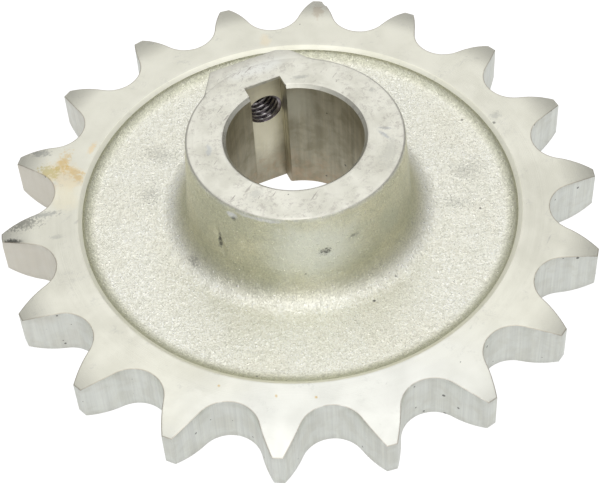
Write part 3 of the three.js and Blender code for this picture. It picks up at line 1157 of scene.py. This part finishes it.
@dataclass
class ToothedRim:
    """The machined rim: teeth, relieved faces and the chamfered lip of the recess on each side.

    Attributes:
        seat_half_angle: how far the round seat of the roller goes to each side, in degrees.
        first_tooth: angle of the first tooth about the bore, in degrees.
        relief_depth: how far the faces drop away at the tips.
        lip_edge: how far the broken edge of the recess reaches outwards, inwards and down.
        joint_edge: how far the small fillet at the web reaches outwards and up.
        edge_break: size of the broken edge around the teeth.
        edge_margin: where the rows of the face start, in edge breaks from the outline.
    """

    teeth: int = 18
    root_radius: float = 65.196
    tip_radius: float = 78.45
    seat_radius: float = 8.1
    seat_half_angle: float = 62.5
    flank_radius: float = 50.0
    first_tooth: float = 62.0
    width: float = RIM_TOP
    relief_radius: float = 26.0
    relief_depth: float = 1.9
    lip_radius: float = 58.2
    lip_margin: float = 0.5
    lip_edge: tuple[float, float, float] = (0.12, 0.07, 0.05)
    joint_radius: float = JOINT_RADIUS
    joint_depth: float = JOINT_DEPTH
    joint_edge: tuple[float, float] = (0.1, 0.07)
    edge_break: float = 0.16
    edge_margin: float = 2.2
    seat_steps: int = 14
    flank_steps: int = 8
    land_steps: int = 3
    wall_steps: int = 3
    face_steps: int = 18
    crease: float = 28.0
    dents: tuple[Dent, ...] = RIM_DENTS

    def outline(self) -> np.ndarray:
        """The outline of the toothed wheel, anticlockwise.

        Returns:
            An n by 2 array.
        """
        half_angle = math.radians(self.seat_half_angle)
        middle = self.root_radius + self.seat_radius
        turn = np.linspace(0, half_angle, self.seat_steps, endpoint=False)
        seat = np.stack([middle - self.seat_radius * np.cos(turn), self.seat_radius * np.sin(turn)], axis=1)
        reach = self.seat_radius + self.flank_radius
        centre = np.array([middle - reach * math.cos(half_angle), reach * math.sin(half_angle)])
        away = np.linalg.norm(centre)
        cosine = (self.tip_radius**2 + away**2 - self.flank_radius**2) / (2 * self.tip_radius * away)
        corner = math.atan2(centre[1], centre[0]) - math.acos(cosine)
        tip = self.tip_radius * np.array([math.cos(corner), math.sin(corner)])
        last = math.atan2(tip[1] - centre[1], tip[0] - centre[0])
        turn = np.linspace(-half_angle, last, self.flank_steps, endpoint=False)
        flank = centre + self.flank_radius * np.stack([np.cos(turn), np.sin(turn)], axis=1)
        turn = np.linspace(corner, math.pi / self.teeth, self.land_steps + 1)
        land = self.tip_radius * np.stack([np.cos(turn), np.sin(turn)], axis=1)
        half = np.concatenate([seat, flank, land])
        gap = np.concatenate([(half[1:] * [1, -1])[::-1], half[:-1]])
        whole = []
        for number in range(self.teeth):
            turn = math.radians(self.first_tooth) + math.pi / self.teeth * (2 * number + 1)
            spin = np.array([[math.cos(turn), math.sin(turn)], [-math.sin(turn), math.cos(turn)]])
            whole.append(gap @ spin)
        return np.concatenate(whole)

    @staticmethod
    def inset(outline: np.ndarray, depth: float) -> np.ndarray:
        """The outline moved into the metal.

        Args:
            outline: points of the outline, anticlockwise.
            depth: how far each side moves.

        Returns:
            An n by 2 array.
        """
        ahead = np.roll(outline, -1, axis=0) - outline
        ahead /= np.linalg.norm(ahead, axis=1, keepdims=True)
        behind = np.roll(ahead, 1, axis=0)
        left = np.stack([-ahead[:, 1], ahead[:, 0]], axis=1)
        left_behind = np.stack([-behind[:, 1], behind[:, 0]], axis=1)
        share = 1 + (left * left_behind).sum(axis=1, keepdims=True)
        return outline + depth * (left + left_behind) / share

    def face_height(self, flat: np.ndarray) -> np.ndarray:
        """Height of the upper face, which drops away towards the tips.

        Args:
            flat: points seen from above, as an n by 2 array.

        Returns:
            One height for each point.
        """
        run = math.sqrt(self.relief_radius**2 - (self.relief_radius - self.relief_depth) ** 2)
        past = np.maximum(np.hypot(flat[:, 0], flat[:, 1]) - (self.tip_radius - run), 0)
        return self.width - self.relief_radius + np.sqrt(np.maximum(self.relief_radius**2 - past**2, 0))

    def upper_rings(self) -> list[Ring]:
        """Rings from the middle of the tooth walls up, inwards and down to the joint with the web."""
        outline = self.outline()
        size = self.edge_break
        top = self.face_height(outline)
        rings = []
        for share in np.linspace(0, 1, self.wall_steps + 1):
            height = self.width / 2 + (top - size - self.width / 2) * share
            wear_and_glint = 0.25 if share == 1 else 0.0
            rings.append(Ring(np.column_stack([outline, height]), Zone.MILLED, wear_and_glint=wear_and_glint))
        for inwards, drop in ((0.3, 0.3), (1.0, 0.0)):
            flat = self.inset(outline, size * inwards)
            height = self.face_height(flat) - size * drop
            rings.append(Ring(np.column_stack([flat, height]), Zone.MACHINED, wear_and_glint=1.0))
        start = self.inset(outline, self.edge_margin * size)
        turns = np.arctan2(start[:, 1], start[:, 0])
        stop = circle(self.lip_radius + self.lip_margin, 0.0, turns)[:, :2]
        for share in np.linspace(0, 1, self.face_steps + 1):
            flat = start + (stop - start) * share
            rings.append(Ring(np.column_stack([flat, self.face_height(flat)]), Zone.MACHINED))
        outwards, inwards, down = self.lip_edge
        rings.append(Ring(circle(self.lip_radius + outwards, self.width, turns), Zone.LIP, wear_and_glint=0.1))
        rings.append(Ring(circle(self.lip_radius - inwards, self.width - down, turns), Zone.LIP, wear_and_glint=0.1))
        foot = self.width - self.joint_depth
        outwards, up = self.joint_edge
        rings.append(Ring(circle(self.joint_radius + outwards, foot + up, turns), Zone.LIP))
        rings.append(Ring(circle(self.joint_radius, foot, turns), Zone.MACHINED))
        return rings

    def dress(self) -> dict[Zone, bpy.types.Material]:
        """Makes the materials of its kinds of surface."""
        finishes = {Zone.MACHINED: TURNED_FACES, Zone.MILLED: TOOTH_WALLS, Zone.LIP: LIT_RECESS_LIP}
        return {zone: finish.make() for zone, finish in finishes.items()}

    def build(self) -> bpy.types.Object:
        """Makes the rim.

        Returns:
            The object, riding on the casting.
        """
        rings = self.upper_rings()
        skin = Skin()
        skin.lace(rings + mirrored(rings, self.width), close=True)
        skin.press(self.dents)
        piece = skin.to_object("toothed_rim_skin", self.dress(), self.crease)
        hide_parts("toothed_rim")
        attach(piece, "casting")
        return piece


@dataclass(frozen=True)
class Thread:
    """A right-hand screw thread along +Y, seen as a radius that changes with angle and distance."""

    pitch: float = 1.5
    crest_radius: float = 4.25
    root_radius: float = 5.0
    crest_flat: float = 0.25
    root_flat: float = 0.14

    def radius(self, along: np.ndarray, turn: np.ndarray) -> np.ndarray:
        """Radius of the tapped wall.

        Args:
            along: distance along +Y.
            turn: angle about the screw, from +X towards +Z.

        Returns:
            One radius for each pair.
        """
        phase = (along / self.pitch + turn / TAU) % 1
        ramp = np.abs(2 * phase - 1)
        share = np.clip((ramp - self.crest_flat) / (1 - self.crest_flat - self.root_flat), 0, 1)
        return self.crest_radius + (self.root_radius - self.crest_radius) * share


@dataclass
class Casting:
    """Web and hub: recess fillets, grained web, drafted hub with its screw pad, keyed bore, tapped hole.

    Columns of points run up the hub and round the bore; lean is each column's angle from the keyway.
    """

    joint_radius: float = JOINT_RADIUS
    joint_height: float = RIM_TOP - JOINT_DEPTH
    recess_radius: float = 53.3
    recess_turns: tuple[float, ...] = (6, 15, 26, 37, 49, 62, 76, 90)
    smooth_turn: float = 70.0
    web_top: float = WEB_TOP
    width: float = RIM_TOP
    hub_top: float = HUB_TOP
    hub_bottom: float = HUB_LOW[2]
    foot_radius: float = HUB_HIGH[0]
    foot_edge: tuple[tuple[float, float], ...] = ((0.35, 0.12), (0.6, 0.38))
    hub_radius: float = 27.8
    draft: float = 0.07
    base_fillet: float = 7.5
    edge_radius: float = 0.7
    edge_turns: tuple[float, ...] = (0, 25, 50, 72, 90)
    edge_depth: float = 1.0
    shoulder_depth: float = 1.6
    pad_edge_radius: float = 0.35
    pad_drop: float = 0.5
    pad_face: float = 30.9
    pad_half_width: float = 10.5
    pad_shoulder: tuple[float, float] = (16.9, 20.9)
    pad_half_angle: float = 52.0
    pad_round: float = 0.5
    hub_round: float = 0.6
    pad_step: tuple[tuple[float, float], ...] = ((28.2, 1.0), (27.85, 1.0), (27.7, 0.35), (27.5, 0.0))
    corner_cut: tuple[float, float] = (28.0, 31.06)
    bore_radius: float = 17.5
    top_chamfer: float = 0.9
    bottom_chamfer: float = 1.2
    mouth_edge: float = 0.1
    key_width: float = 10.0
    key_floor: float = 21.0
    screw_height: float = SCREW_HEIGHT
    key_countersink: float = 4.55
    pad_countersink: float = 5.3
    patch_half_width: float = 4.85
    patch_half_height: float = 5.4
    patch_columns: int = 20
    patch_rows: int = 16
    side_columns: int = 236
    web_rows: int = 20
    fillet_rows: int = 12
    bore_rows: int = 15
    thread_rows: int = 84
    crest_band: float = 0.3
    lump_size: float = 2.6
    lump_depth: float = 0.05
    crease: float = 28.0
    thread: Thread = Thread()
    dents: tuple[Dent, ...] = HUB_DENTS

    def __post_init__(self) -> None:
        """Sets out the columns, so that the keyway's corners and the patch around the hole fall on them."""
        floor = np.linspace(-self.patch_half_width, self.patch_half_width, self.patch_columns + 1)
        inner = np.arctan(floor / self.key_floor)
        half = self.key_width / 2
        corner = math.hypot(half, self.key_floor)
        mouth = self.bore_radius + self.top_chamfer
        walls = [*np.linspace(corner, mouth, 6), *np.linspace(mouth, self.bore_radius, 3)[1:]]
        wall = np.arcsin(half / np.array(walls))
        rest = np.linspace(wall[-1], math.pi, self.side_columns)[1:]
        side = np.concatenate([wall, rest])
        self.lean = np.concatenate([-side[:-1][::-1], inner, side])
        self.turns = self.lean + math.pi / 2
        first = len(side) - 1
        self.patch = slice(first, first + self.patch_columns + 1)
        lean = np.abs(self.lean)
        sides = half / np.maximum(np.sin(lean), 1e-6)
        floors = self.key_floor / np.maximum(np.cos(lean), 1e-6)
        self.key = np.where(lean <= wall[-1] + 1e-9, np.minimum(sides, floors), 0)

    def ring(
        self, radius: Measure, height: Measure, zone: Zone, wear_and_glint: Measure = 0.0, grain: float = 0.0
    ) -> Ring:
        """A ring with one point on each column."""
        return Ring(circle(radius, height, self.turns), zone, wear_and_glint=wear_and_glint, grain=grain)

    def bore(self, radius: float) -> np.ndarray:
        """Radius of the bore with its keyway at each column, for a bore of the given radius."""
        return np.maximum(radius, self.key)

    def side(self, height: float) -> np.ndarray:
        """Radius of the hub with its pad at each column.

        Args:
            height: height of the section.

        Returns:
            One radius for each column.
        """
        hub = self.hub_radius + self.draft * (self.hub_top - height)
        pad_top = self.hub_top - self.pad_drop
        spread = 1 + self.draft * (pad_top - height) / self.pad_face
        run = self.pad_shoulder[0] - self.pad_half_width
        fall = self.pad_face - self.pad_shoulder[1]
        length = math.hypot(run, fall)
        reach = (self.pad_half_width * fall + self.pad_face * run) / length
        lean = np.abs(self.lean)
        slant = reach * length / (np.cos(lean) * run + np.sin(lean) * fall + 1e-9)
        front = self.pad_face / np.maximum(np.cos(lean), 0.2)
        pad = -smooth_max(-front, -slant, self.pad_round)
        cut, reach = self.corner_cut
        cut_off = reach / np.maximum(np.cos(self.lean + math.radians(cut)), 0.2)
        pad = -smooth_max(-pad, -cut_off, self.pad_round)
        pad = np.where(lean < math.radians(self.pad_half_angle), pad * spread, 0)
        return smooth_max(np.full_like(pad, hub), pad, self.hub_round)

    def recess_ring(self, degrees: float, floor: float, way: int, grain: float = 0.0) -> Ring:
        """One ring of the fillet between the web and the rim.

        Args:
            degrees: how far up the fillet it is, from 0 at the web to 90 at the rim.
            floor: height of the web's face.
            way: 1 on the hub's side of the web and -1 under it.
            grain: how much casting grain lifts it.

        Returns:
            The ring.
        """
        turn = math.radians(degrees)
        radius = self.recess_radius + (self.joint_radius - self.recess_radius) * math.sin(turn)
        rise = (self.joint_height - self.web_top) * (1 - math.cos(turn))
        return self.ring(radius, floor + way * rise, Zone.CAST, grain=grain)

    def outer_rings(self) -> tuple[list[Ring], slice]:
        """Rings of the upper side, from the joint with the rim to the hub's top edge.

        Returns:
            The rings, and which of them carry the patch around the tapped hole.
        """
        rings = []
        for degrees in self.recess_turns[::-1]:
            grain = 0.0 if degrees > self.smooth_turn else 0.6
            rings.append(self.recess_ring(degrees, self.web_top, 1, grain))
        centre = self.web_top + self.base_fillet
        wall = self.side(centre)
        for share in np.linspace(0, 1, self.web_rows, endpoint=False):
            radius = self.recess_radius + (wall + self.base_fillet - self.recess_radius) * share
            rings.append(self.ring(radius, self.web_top, Zone.CAST, grain=1.0))
        for turn in np.radians(np.linspace(270, 180, self.fillet_rows + 1)):
            radius = wall + self.base_fillet * (1 + math.cos(turn))
            height = centre + self.base_fillet * math.sin(turn)
            rings.append(self.ring(radius, height, Zone.CAST, grain=1.0))
        mouth = self.pad_face + self.draft * (self.hub_top - self.pad_drop - self.screw_height)
        half = self.patch_half_height * mouth / self.key_floor
        low, high = self.screw_height - half, self.screw_height + half
        heights = list(np.linspace(centre, low, 4)[1:-1])
        first = len(rings) + len(heights)
        heights += list(np.linspace(low, high, self.patch_rows + 1))
        heights += [self.hub_top - self.shoulder_depth]
        rings += [self.ring(self.side(height), height, Zone.CAST, grain=1.0) for height in heights]
        return rings, slice(first, first + self.patch_rows + 1)

    def top_rings(self) -> list[Ring]:
        """Rings over the hub's top edge, across the lower pad and the turned face to the bore."""
        on_pad = smooth_step((self.side(self.hub_top - self.pad_drop) - self.hub_radius) / 0.9)
        edge = self.edge_radius + (self.pad_edge_radius - self.edge_radius) * on_pad
        top = self.hub_top - self.pad_drop * on_pad
        wall = self.side(self.hub_top - self.edge_depth)
        rings = []
        for number, turn in enumerate(np.radians(self.edge_turns)):
            zone = Zone.CAST if number < 2 else Zone.MACHINED
            radius = wall - edge * (1 - math.cos(turn))
            rings.append(self.ring(radius, top - edge * (1 - math.sin(turn)), zone, wear_and_glint=1.0))
        radius = wall - edge
        for limit, drop in self.pad_step:
            radius = np.minimum(limit, radius - 0.04)
            height = self.hub_top - self.pad_drop * on_pad * drop
            rings.append(self.ring(radius, height, Zone.MACHINED, wear_and_glint=on_pad * (drop < 1)))
        mouth = self.bore(self.bore_radius + self.top_chamfer)
        for share in np.linspace(0, 1, 8)[1:]:
            flat = radius + (mouth + 3 * self.mouth_edge - radius) * share
            rings.append(self.ring(flat, self.hub_top, Zone.MACHINED))
        keyed = self.key > self.bore_radius + self.top_chamfer
        rings.append(self.ring(mouth + self.mouth_edge, self.hub_top, Zone.MACHINED, wear_and_glint=1.0))
        broken = np.where(keyed, mouth, mouth - 0.7 * self.mouth_edge)
        height = self.hub_top - np.where(keyed, 1.0, 0.5) * self.mouth_edge
        rings.append(self.ring(broken, height, Zone.MACHINED))
        return rings

    def inner_rings(self) -> tuple[list[Ring], slice]:
        """Rings down the bore, out under the hub and the web to the lower joint.

        Returns:
            The rings, and which of them carry the patch around the tapped hole.
        """
        start = self.hub_top - self.top_chamfer
        stop = self.hub_bottom + self.bottom_chamfer
        low, high = self.screw_height - self.patch_half_height, self.screw_height + self.patch_half_height
        heights = list(np.linspace(start, high, 5)[:-1])
        first = len(heights)
        heights += list(np.linspace(high, low, self.patch_rows + 1))
        heights += list(np.linspace(low, stop, self.bore_rows + 1)[1:])
        bore = self.bore(self.bore_radius)
        rings = [self.ring(bore, height, Zone.BORED) for height in heights]
        mouth = self.bore(self.bore_radius + self.bottom_chamfer)
        rings.append(self.ring(mouth, self.hub_bottom, Zone.MACHINED, wear_and_glint=0.6))
        face = self.foot_radius - self.edge_radius
        for share in np.linspace(0, 1, 7)[1:]:
            rings.append(self.ring(mouth + (face - mouth) * share, self.hub_bottom, Zone.MACHINED))
        for outwards, rise in self.foot_edge:
            rings.append(self.ring(face + outwards, self.hub_bottom + rise, Zone.CAST, wear_and_glint=0.6))
        low_web = self.width - self.web_top
        foot = self.foot_radius + self.foot_edge[0][0]
        for share in np.linspace(0, 1, 12):
            radius = foot + (self.recess_radius - foot) * share
            rings.append(self.ring(radius, low_web, Zone.CAST, grain=min(1.0, 4 * share)))
        rings += [self.recess_ring(degrees, low_web, -1) for degrees in self.recess_turns[1:]]
        return rings, slice(first, first + self.patch_rows + 1)

    def border(self, rows: list[np.ndarray]) -> np.ndarray:
        """Indices round the edge of a patch.

        Args:
            rows: the patch's rings, in order.

        Returns:
            The border, once round.
        """
        block = np.stack([row[self.patch] for row in rows])
        return np.concatenate([block[0, :-1], block[:-1, -1], block[-1, :0:-1], block[:0:-1, 0]])

    def tap(self, skin: Skin, inner: np.ndarray, outer: np.ndarray) -> None:
        """Joins the two patches by the threaded wall of the tapped hole.

        Args:
            skin: the surface to add to.
            inner: border of the patch in the keyway, from its lowest row.
            outer: border of the patch on the pad, from its lowest row.
        """
        places = np.concatenate(skin.points)
        turns = np.arctan2(places[inner, 2] - self.screw_height, places[inner, 0])
        pad_top = self.hub_top - self.pad_drop
        rise = self.screw_height + self.thread.crest_radius * np.sin(turns)
        mouth = self.pad_face + self.draft * (pad_top - rise)
        rows = []
        for share in np.linspace(0, 1, self.thread_rows + 1):
            along = self.key_floor + (mouth - self.key_floor) * share
            inwards, outwards = along - self.key_floor, mouth - along
            sunk = np.maximum(self.key_countersink - inwards, self.pad_countersink - outwards)
            radius = np.maximum(self.thread.radius(along, turns), sunk)
            points = [radius * np.cos(turns), along, self.screw_height + radius * np.sin(turns)]
            # The thread's crests, where the oiled thread's lighter colour lies as a painted highlight.
            crest_glint = np.clip(1 - (radius - self.thread.crest_radius) / self.crest_band, 0, 1)
            rows.append(Ring(np.stack(points, axis=1), Zone.THREAD, wear_and_glint=crest_glint))
        indices = skin.lace(rows)
        skin.band(inner, indices[0], Zone.BORED)
        skin.band(indices[-1], outer, Zone.CAST)

    def dress(self) -> dict[Zone, bpy.types.Material]:
        """Makes the materials of its kinds of surface."""
        finishes = {Zone.CAST: CAST_SKIN, Zone.MACHINED: HUB_FACE}
        finishes |= {Zone.BORED: BORED_STEEL, Zone.THREAD: OILED_THREAD}
        return {zone: finish.make() for zone, finish in finishes.items()}

    def build(self) -> bpy.types.Object:
        """Makes web and hub.

        Returns:
            The object, riding on the casting.
        """
        outer, outer_patch = self.outer_rings()
        top = self.top_rings()
        inner, inner_patch = self.inner_rings()
        rings = outer + top + inner
        shift = len(outer) + len(top)
        patches = [outer_patch, slice(inner_patch.start + shift, inner_patch.stop + shift)]
        skin = Skin()
        rows = [skin.add(ring) for ring in rings]
        hole = np.zeros(len(self.turns), bool)
        hole[self.patch.start : self.patch.stop - 1] = True
        for number, ring in enumerate(rings):
            patched = any(patch.start <= number < patch.stop - 1 for patch in patches)
            following = rows[(number + 1) % len(rows)]
            skin.band(rows[number], following, ring.zone, skip=hole if patched else None)
        self.tap(skin, self.border(rows[patches[1]][::-1]), self.border(rows[patches[0]]))
        skin.relief(self.lump_size, self.lump_depth)
        skin.press(self.dents)
        piece = skin.to_object("web_and_hub_skin", self.dress(), self.crease)
        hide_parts("web_plate", "hub")
        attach(piece, "casting")
        return piece


@dataclass
class SetScrew:
    """Socket set screw with cup point, turned in from the pad's side.

    Attributes:
        cup_eye: radius and depth of the ring near the bottom of the cup.
        cup_land: width of the cup's flat rim.
        tail_land: outer and inner radius of the flat around the socket.
        play: how far its thread stays clear of the hole's thread.
        drill: how much of the socket's width its round bottom keeps, its step and its depth.
    """

    height: float = SCREW_HEIGHT
    point: float = SCREW_LOW[1]
    length: float = SCREW_HIGH[1] - SCREW_LOW[1]
    end_radius: float = 3.9
    cup_radius: float = 2.5
    cup_depth: float = 0.9
    cup_eye: tuple[float, float] = (0.8, 0.62)
    cup_land: float = 0.35
    across_flats: float = 5.0
    socket_depth: float = 4.0
    tail_land: tuple[float, float] = (3.35, 3.05)
    drill: tuple[float, float, float] = (0.86, 0.1, 0.9)
    play: float = 0.13
    columns: int = 72
    rows: int = 80
    crease: float = 32.0
    thread: Thread = Thread()

    def ring(self, radius: Measure, along: Measure, wear_and_glint: float = 0.0) -> Ring:
        """A ring about the screw's axis."""
        turns = np.arange(self.columns) / self.columns * TAU
        flat = np.ones_like(turns)
        points = [radius * np.cos(turns), along * flat, self.height + radius * np.sin(turns)]
        return Ring(np.stack(points, axis=1), Zone.THREAD, wear_and_glint=wear_and_glint)

    def build(self) -> bpy.types.Object:
        """Makes the screw.

        Returns:
            The object, riding on the screw.
        """
        turns = np.arange(self.columns) / self.columns * TAU
        tail = self.point + self.length
        eye, sunk = self.cup_eye
        rings = [self.ring(eye, self.point + sunk)]
        for radius in (self.cup_radius, self.cup_radius + self.cup_land):
            rings.append(self.ring(radius, self.point, wear_and_glint=1.0))
        for along in np.linspace(self.point, tail, self.rows + 1):
            cone = self.end_radius + min(along - self.point, tail - along)
            radius = np.minimum(self.thread.radius(np.full_like(turns, along), turns) - self.play, cone)
            rings.append(self.ring(radius, along, wear_and_glint=0.6))
        sixth = TAU / 6
        hexagon = self.across_flats / 2 / np.cos((turns + sixth / 2) % sixth - sixth / 2)
        outer, inner = self.tail_land
        share, step, drill_depth = self.drill
        bottom = tail - self.socket_depth
        rings.append(self.ring(outer, tail))
        rings.append(self.ring(inner, tail, wear_and_glint=1.0))
        rings.append(self.ring(hexagon, tail - (inner - hexagon), wear_and_glint=0.8))
        rings.append(self.ring(hexagon, bottom))
        rings.append(self.ring(hexagon * share, bottom - step))
        skin = Skin()
        rows = skin.lace(rings)
        skin.fan(rows[0], (0, self.point + self.cup_depth, self.height), Zone.THREAD)
        skin.fan(rows[-1], (0, bottom - drill_depth, self.height), Zone.THREAD)
        piece = skin.to_object("set_screw_skin", {Zone.THREAD: BLACK_SCREW.make()}, self.crease)
        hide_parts("set_screw")
        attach(piece, "screw")
        return piece


# ---------------------------------------------------------------------------------------------------- studio


@dataclass
class Studio:
    """Pale floor, soft light and the camera.

    Attributes:
        aim: the point that the camera looks at, in millimetres.
        azimuth: direction of the camera about +Z, in degrees from +X.
        elevation: direction of the camera above the floor, in degrees.
        distance: from the aim to the camera, in millimetres.
        floor_gap: how far the floor is below the wheel, in millimetres.
        floor_glow: light of the floor on the wheel.
        floor_shown: light of the floor to the camera.
        backdrop: light of the surroundings to the camera.
        overhead: light from above, strongest around overhead_lean degrees on the camera's side.
        horizon: light from all round.
        side_drop: how much of the overhead light is missing at the sides, between side_start and side_end.
    """

    aim: tuple[float, float, float] = (-5.11, -11.62, 12.7)
    azimuth: float = -111.214
    elevation: float = 50.428
    distance: float = 452.4
    roll: float = -3.861
    lens: float = 105.093
    sensor: float = 36.0
    clip_start: float = 0.01
    floor_size: float = 6.0
    floor_gap: float = 0.05
    floor_colour: Colour = (0.15, 0.15, 0.15, 1)
    floor_roughness: float = 0.9
    floor_gloss: float = 0.1
    floor_glow: float = 0.62
    floor_shown: float = 1.0
    backdrop: float = 1.0
    overhead: float = 1.46
    overhead_lean: float = 80.0
    horizon: float = 0.29
    side_drop: float = 0.88
    side_start: float = 0.05
    side_end: float = 0.6

    def direction(self, elevation: float) -> Vector:
        """The unit direction on the camera's side of the wheel, at the given angle above the floor."""
        turn, rise = math.radians(self.azimuth), math.radians(elevation)
        return Vector((math.cos(rise) * math.cos(turn), math.cos(rise) * math.sin(turn), math.sin(rise)))

    def build_floor(self) -> None:
        """Lays the floor under the wheel."""
        half = self.floor_size / 2
        level = cad_box[0][2] - self.floor_gap * MM
        mesh = bpy.data.meshes.new("studio_floor")
        corners = [(-half, -half, level), (half, -half, level), (half, half, level), (-half, half, level)]
        mesh.from_pydata(corners, [], [(0, 1, 2, 3)])
        material = bpy.data.materials.new("pale_floor")
        material.use_nodes = True
        board = Board(material.node_tree)
        shader = material.node_tree.nodes["Principled BSDF"]
        shader.inputs["Base Color"].default_value = self.floor_colour
        shader.inputs["Roughness"].default_value = self.floor_roughness
        shader.inputs["Specular IOR Level"].default_value = self.floor_gloss
        shader.inputs["Emission Color"].default_value = (1, 1, 1, 1)
        seen = board.place("ShaderNodeLightPath").outputs["Is Camera Ray"]
        glow = board.spread(seen, 0.0, 1.0, self.floor_glow, self.floor_shown)
        board.feed(shader.inputs["Emission Strength"], glow)
        mesh.materials.append(material)
        floor = bpy.data.objects.new("studio_floor", mesh)
        bpy.context.scene.collection.objects.link(floor)

    def build_light(self) -> None:
        """Sets the surrounding light: brightest overhead, darker at the wheel's left and right."""
        world = bpy.data.worlds.new("studio")
        world.use_nodes = True
        board = Board(world.node_tree)
        place = board.place("ShaderNodeTexCoord").outputs["Generated"]
        top, front = self.direction(self.overhead_lean), self.direction(0)
        height = board.vector("DOT_PRODUCT", place, tuple(top), output=1)
        above = board.spread(height, 0.0, 1.0, 0.0, self.overhead)
        across = board.vector("DOT_PRODUCT", place, (front.y, -front.x, 0), output=1)
        across = board.sum("ABSOLUTE", across)
        darker = board.spread(across, self.side_start, self.side_end, 1.0, 1 - self.side_drop)
        level = board.sum("MULTIPLY_ADD", above, darker, self.horizon)
        seen = board.place("ShaderNodeLightPath").outputs["Is Camera Ray"]
        level = board.spread(seen, 0.0, 1.0, level, self.backdrop)
        board.feed(world.node_tree.nodes["Background"].inputs["Color"], board.grey(level))
        bpy.context.scene.world = world

    def build_camera(self) -> None:
        """Places the camera."""
        data = bpy.data.cameras.new("camera")
        data.lens = self.lens
        data.sensor_width = self.sensor
        data.clip_start = self.clip_start
        camera = bpy.data.objects.new("camera", data)
        back = self.direction(self.elevation)
        side = Vector((0, 0, 1)).cross(back).normalized()
        basis = Matrix((side, back.cross(side), back)).transposed()
        spin = Matrix.Rotation(math.radians(self.roll), 3, "Z")
        spot = Vector(self.aim) * MM + back * self.distance * MM
        camera.matrix_world = Matrix.LocRotScale(spot, (basis @ spin).to_quaternion(), None)
        bpy.context.scene.collection.objects.link(camera)
        bpy.context.scene.camera = camera

    def build(self) -> None:
        """Sets up the whole studio."""
        self.build_floor()
        self.build_light()
        self.build_camera()
        bpy.context.scene.view_settings.view_transform = "Standard"


def report(piece: bpy.types.Object) -> None:
    """Logs a finished piece.

    Args:
        piece: the piece.
    """
    points = np.array([vertex.co for vertex in piece.data.vertices]) / MM
    spans = ", ".join(f"{value:.1f}" for value in points.max(axis=0) - points.min(axis=0))
    log.info("%s: %d faces, %s mm", piece.name, len(piece.data.polygons), spans)


def main() -> None:
    """Builds the studio and the pieces, and reports each piece."""
    logging.basicConfig(level=logging.INFO, format="%(name)s: %(message)s")
    Studio().build()
    for assembly in (ToothedRim(), Casting(), SetScrew()):
        report(assembly.build())


if __name__ == "__main__":
    main()
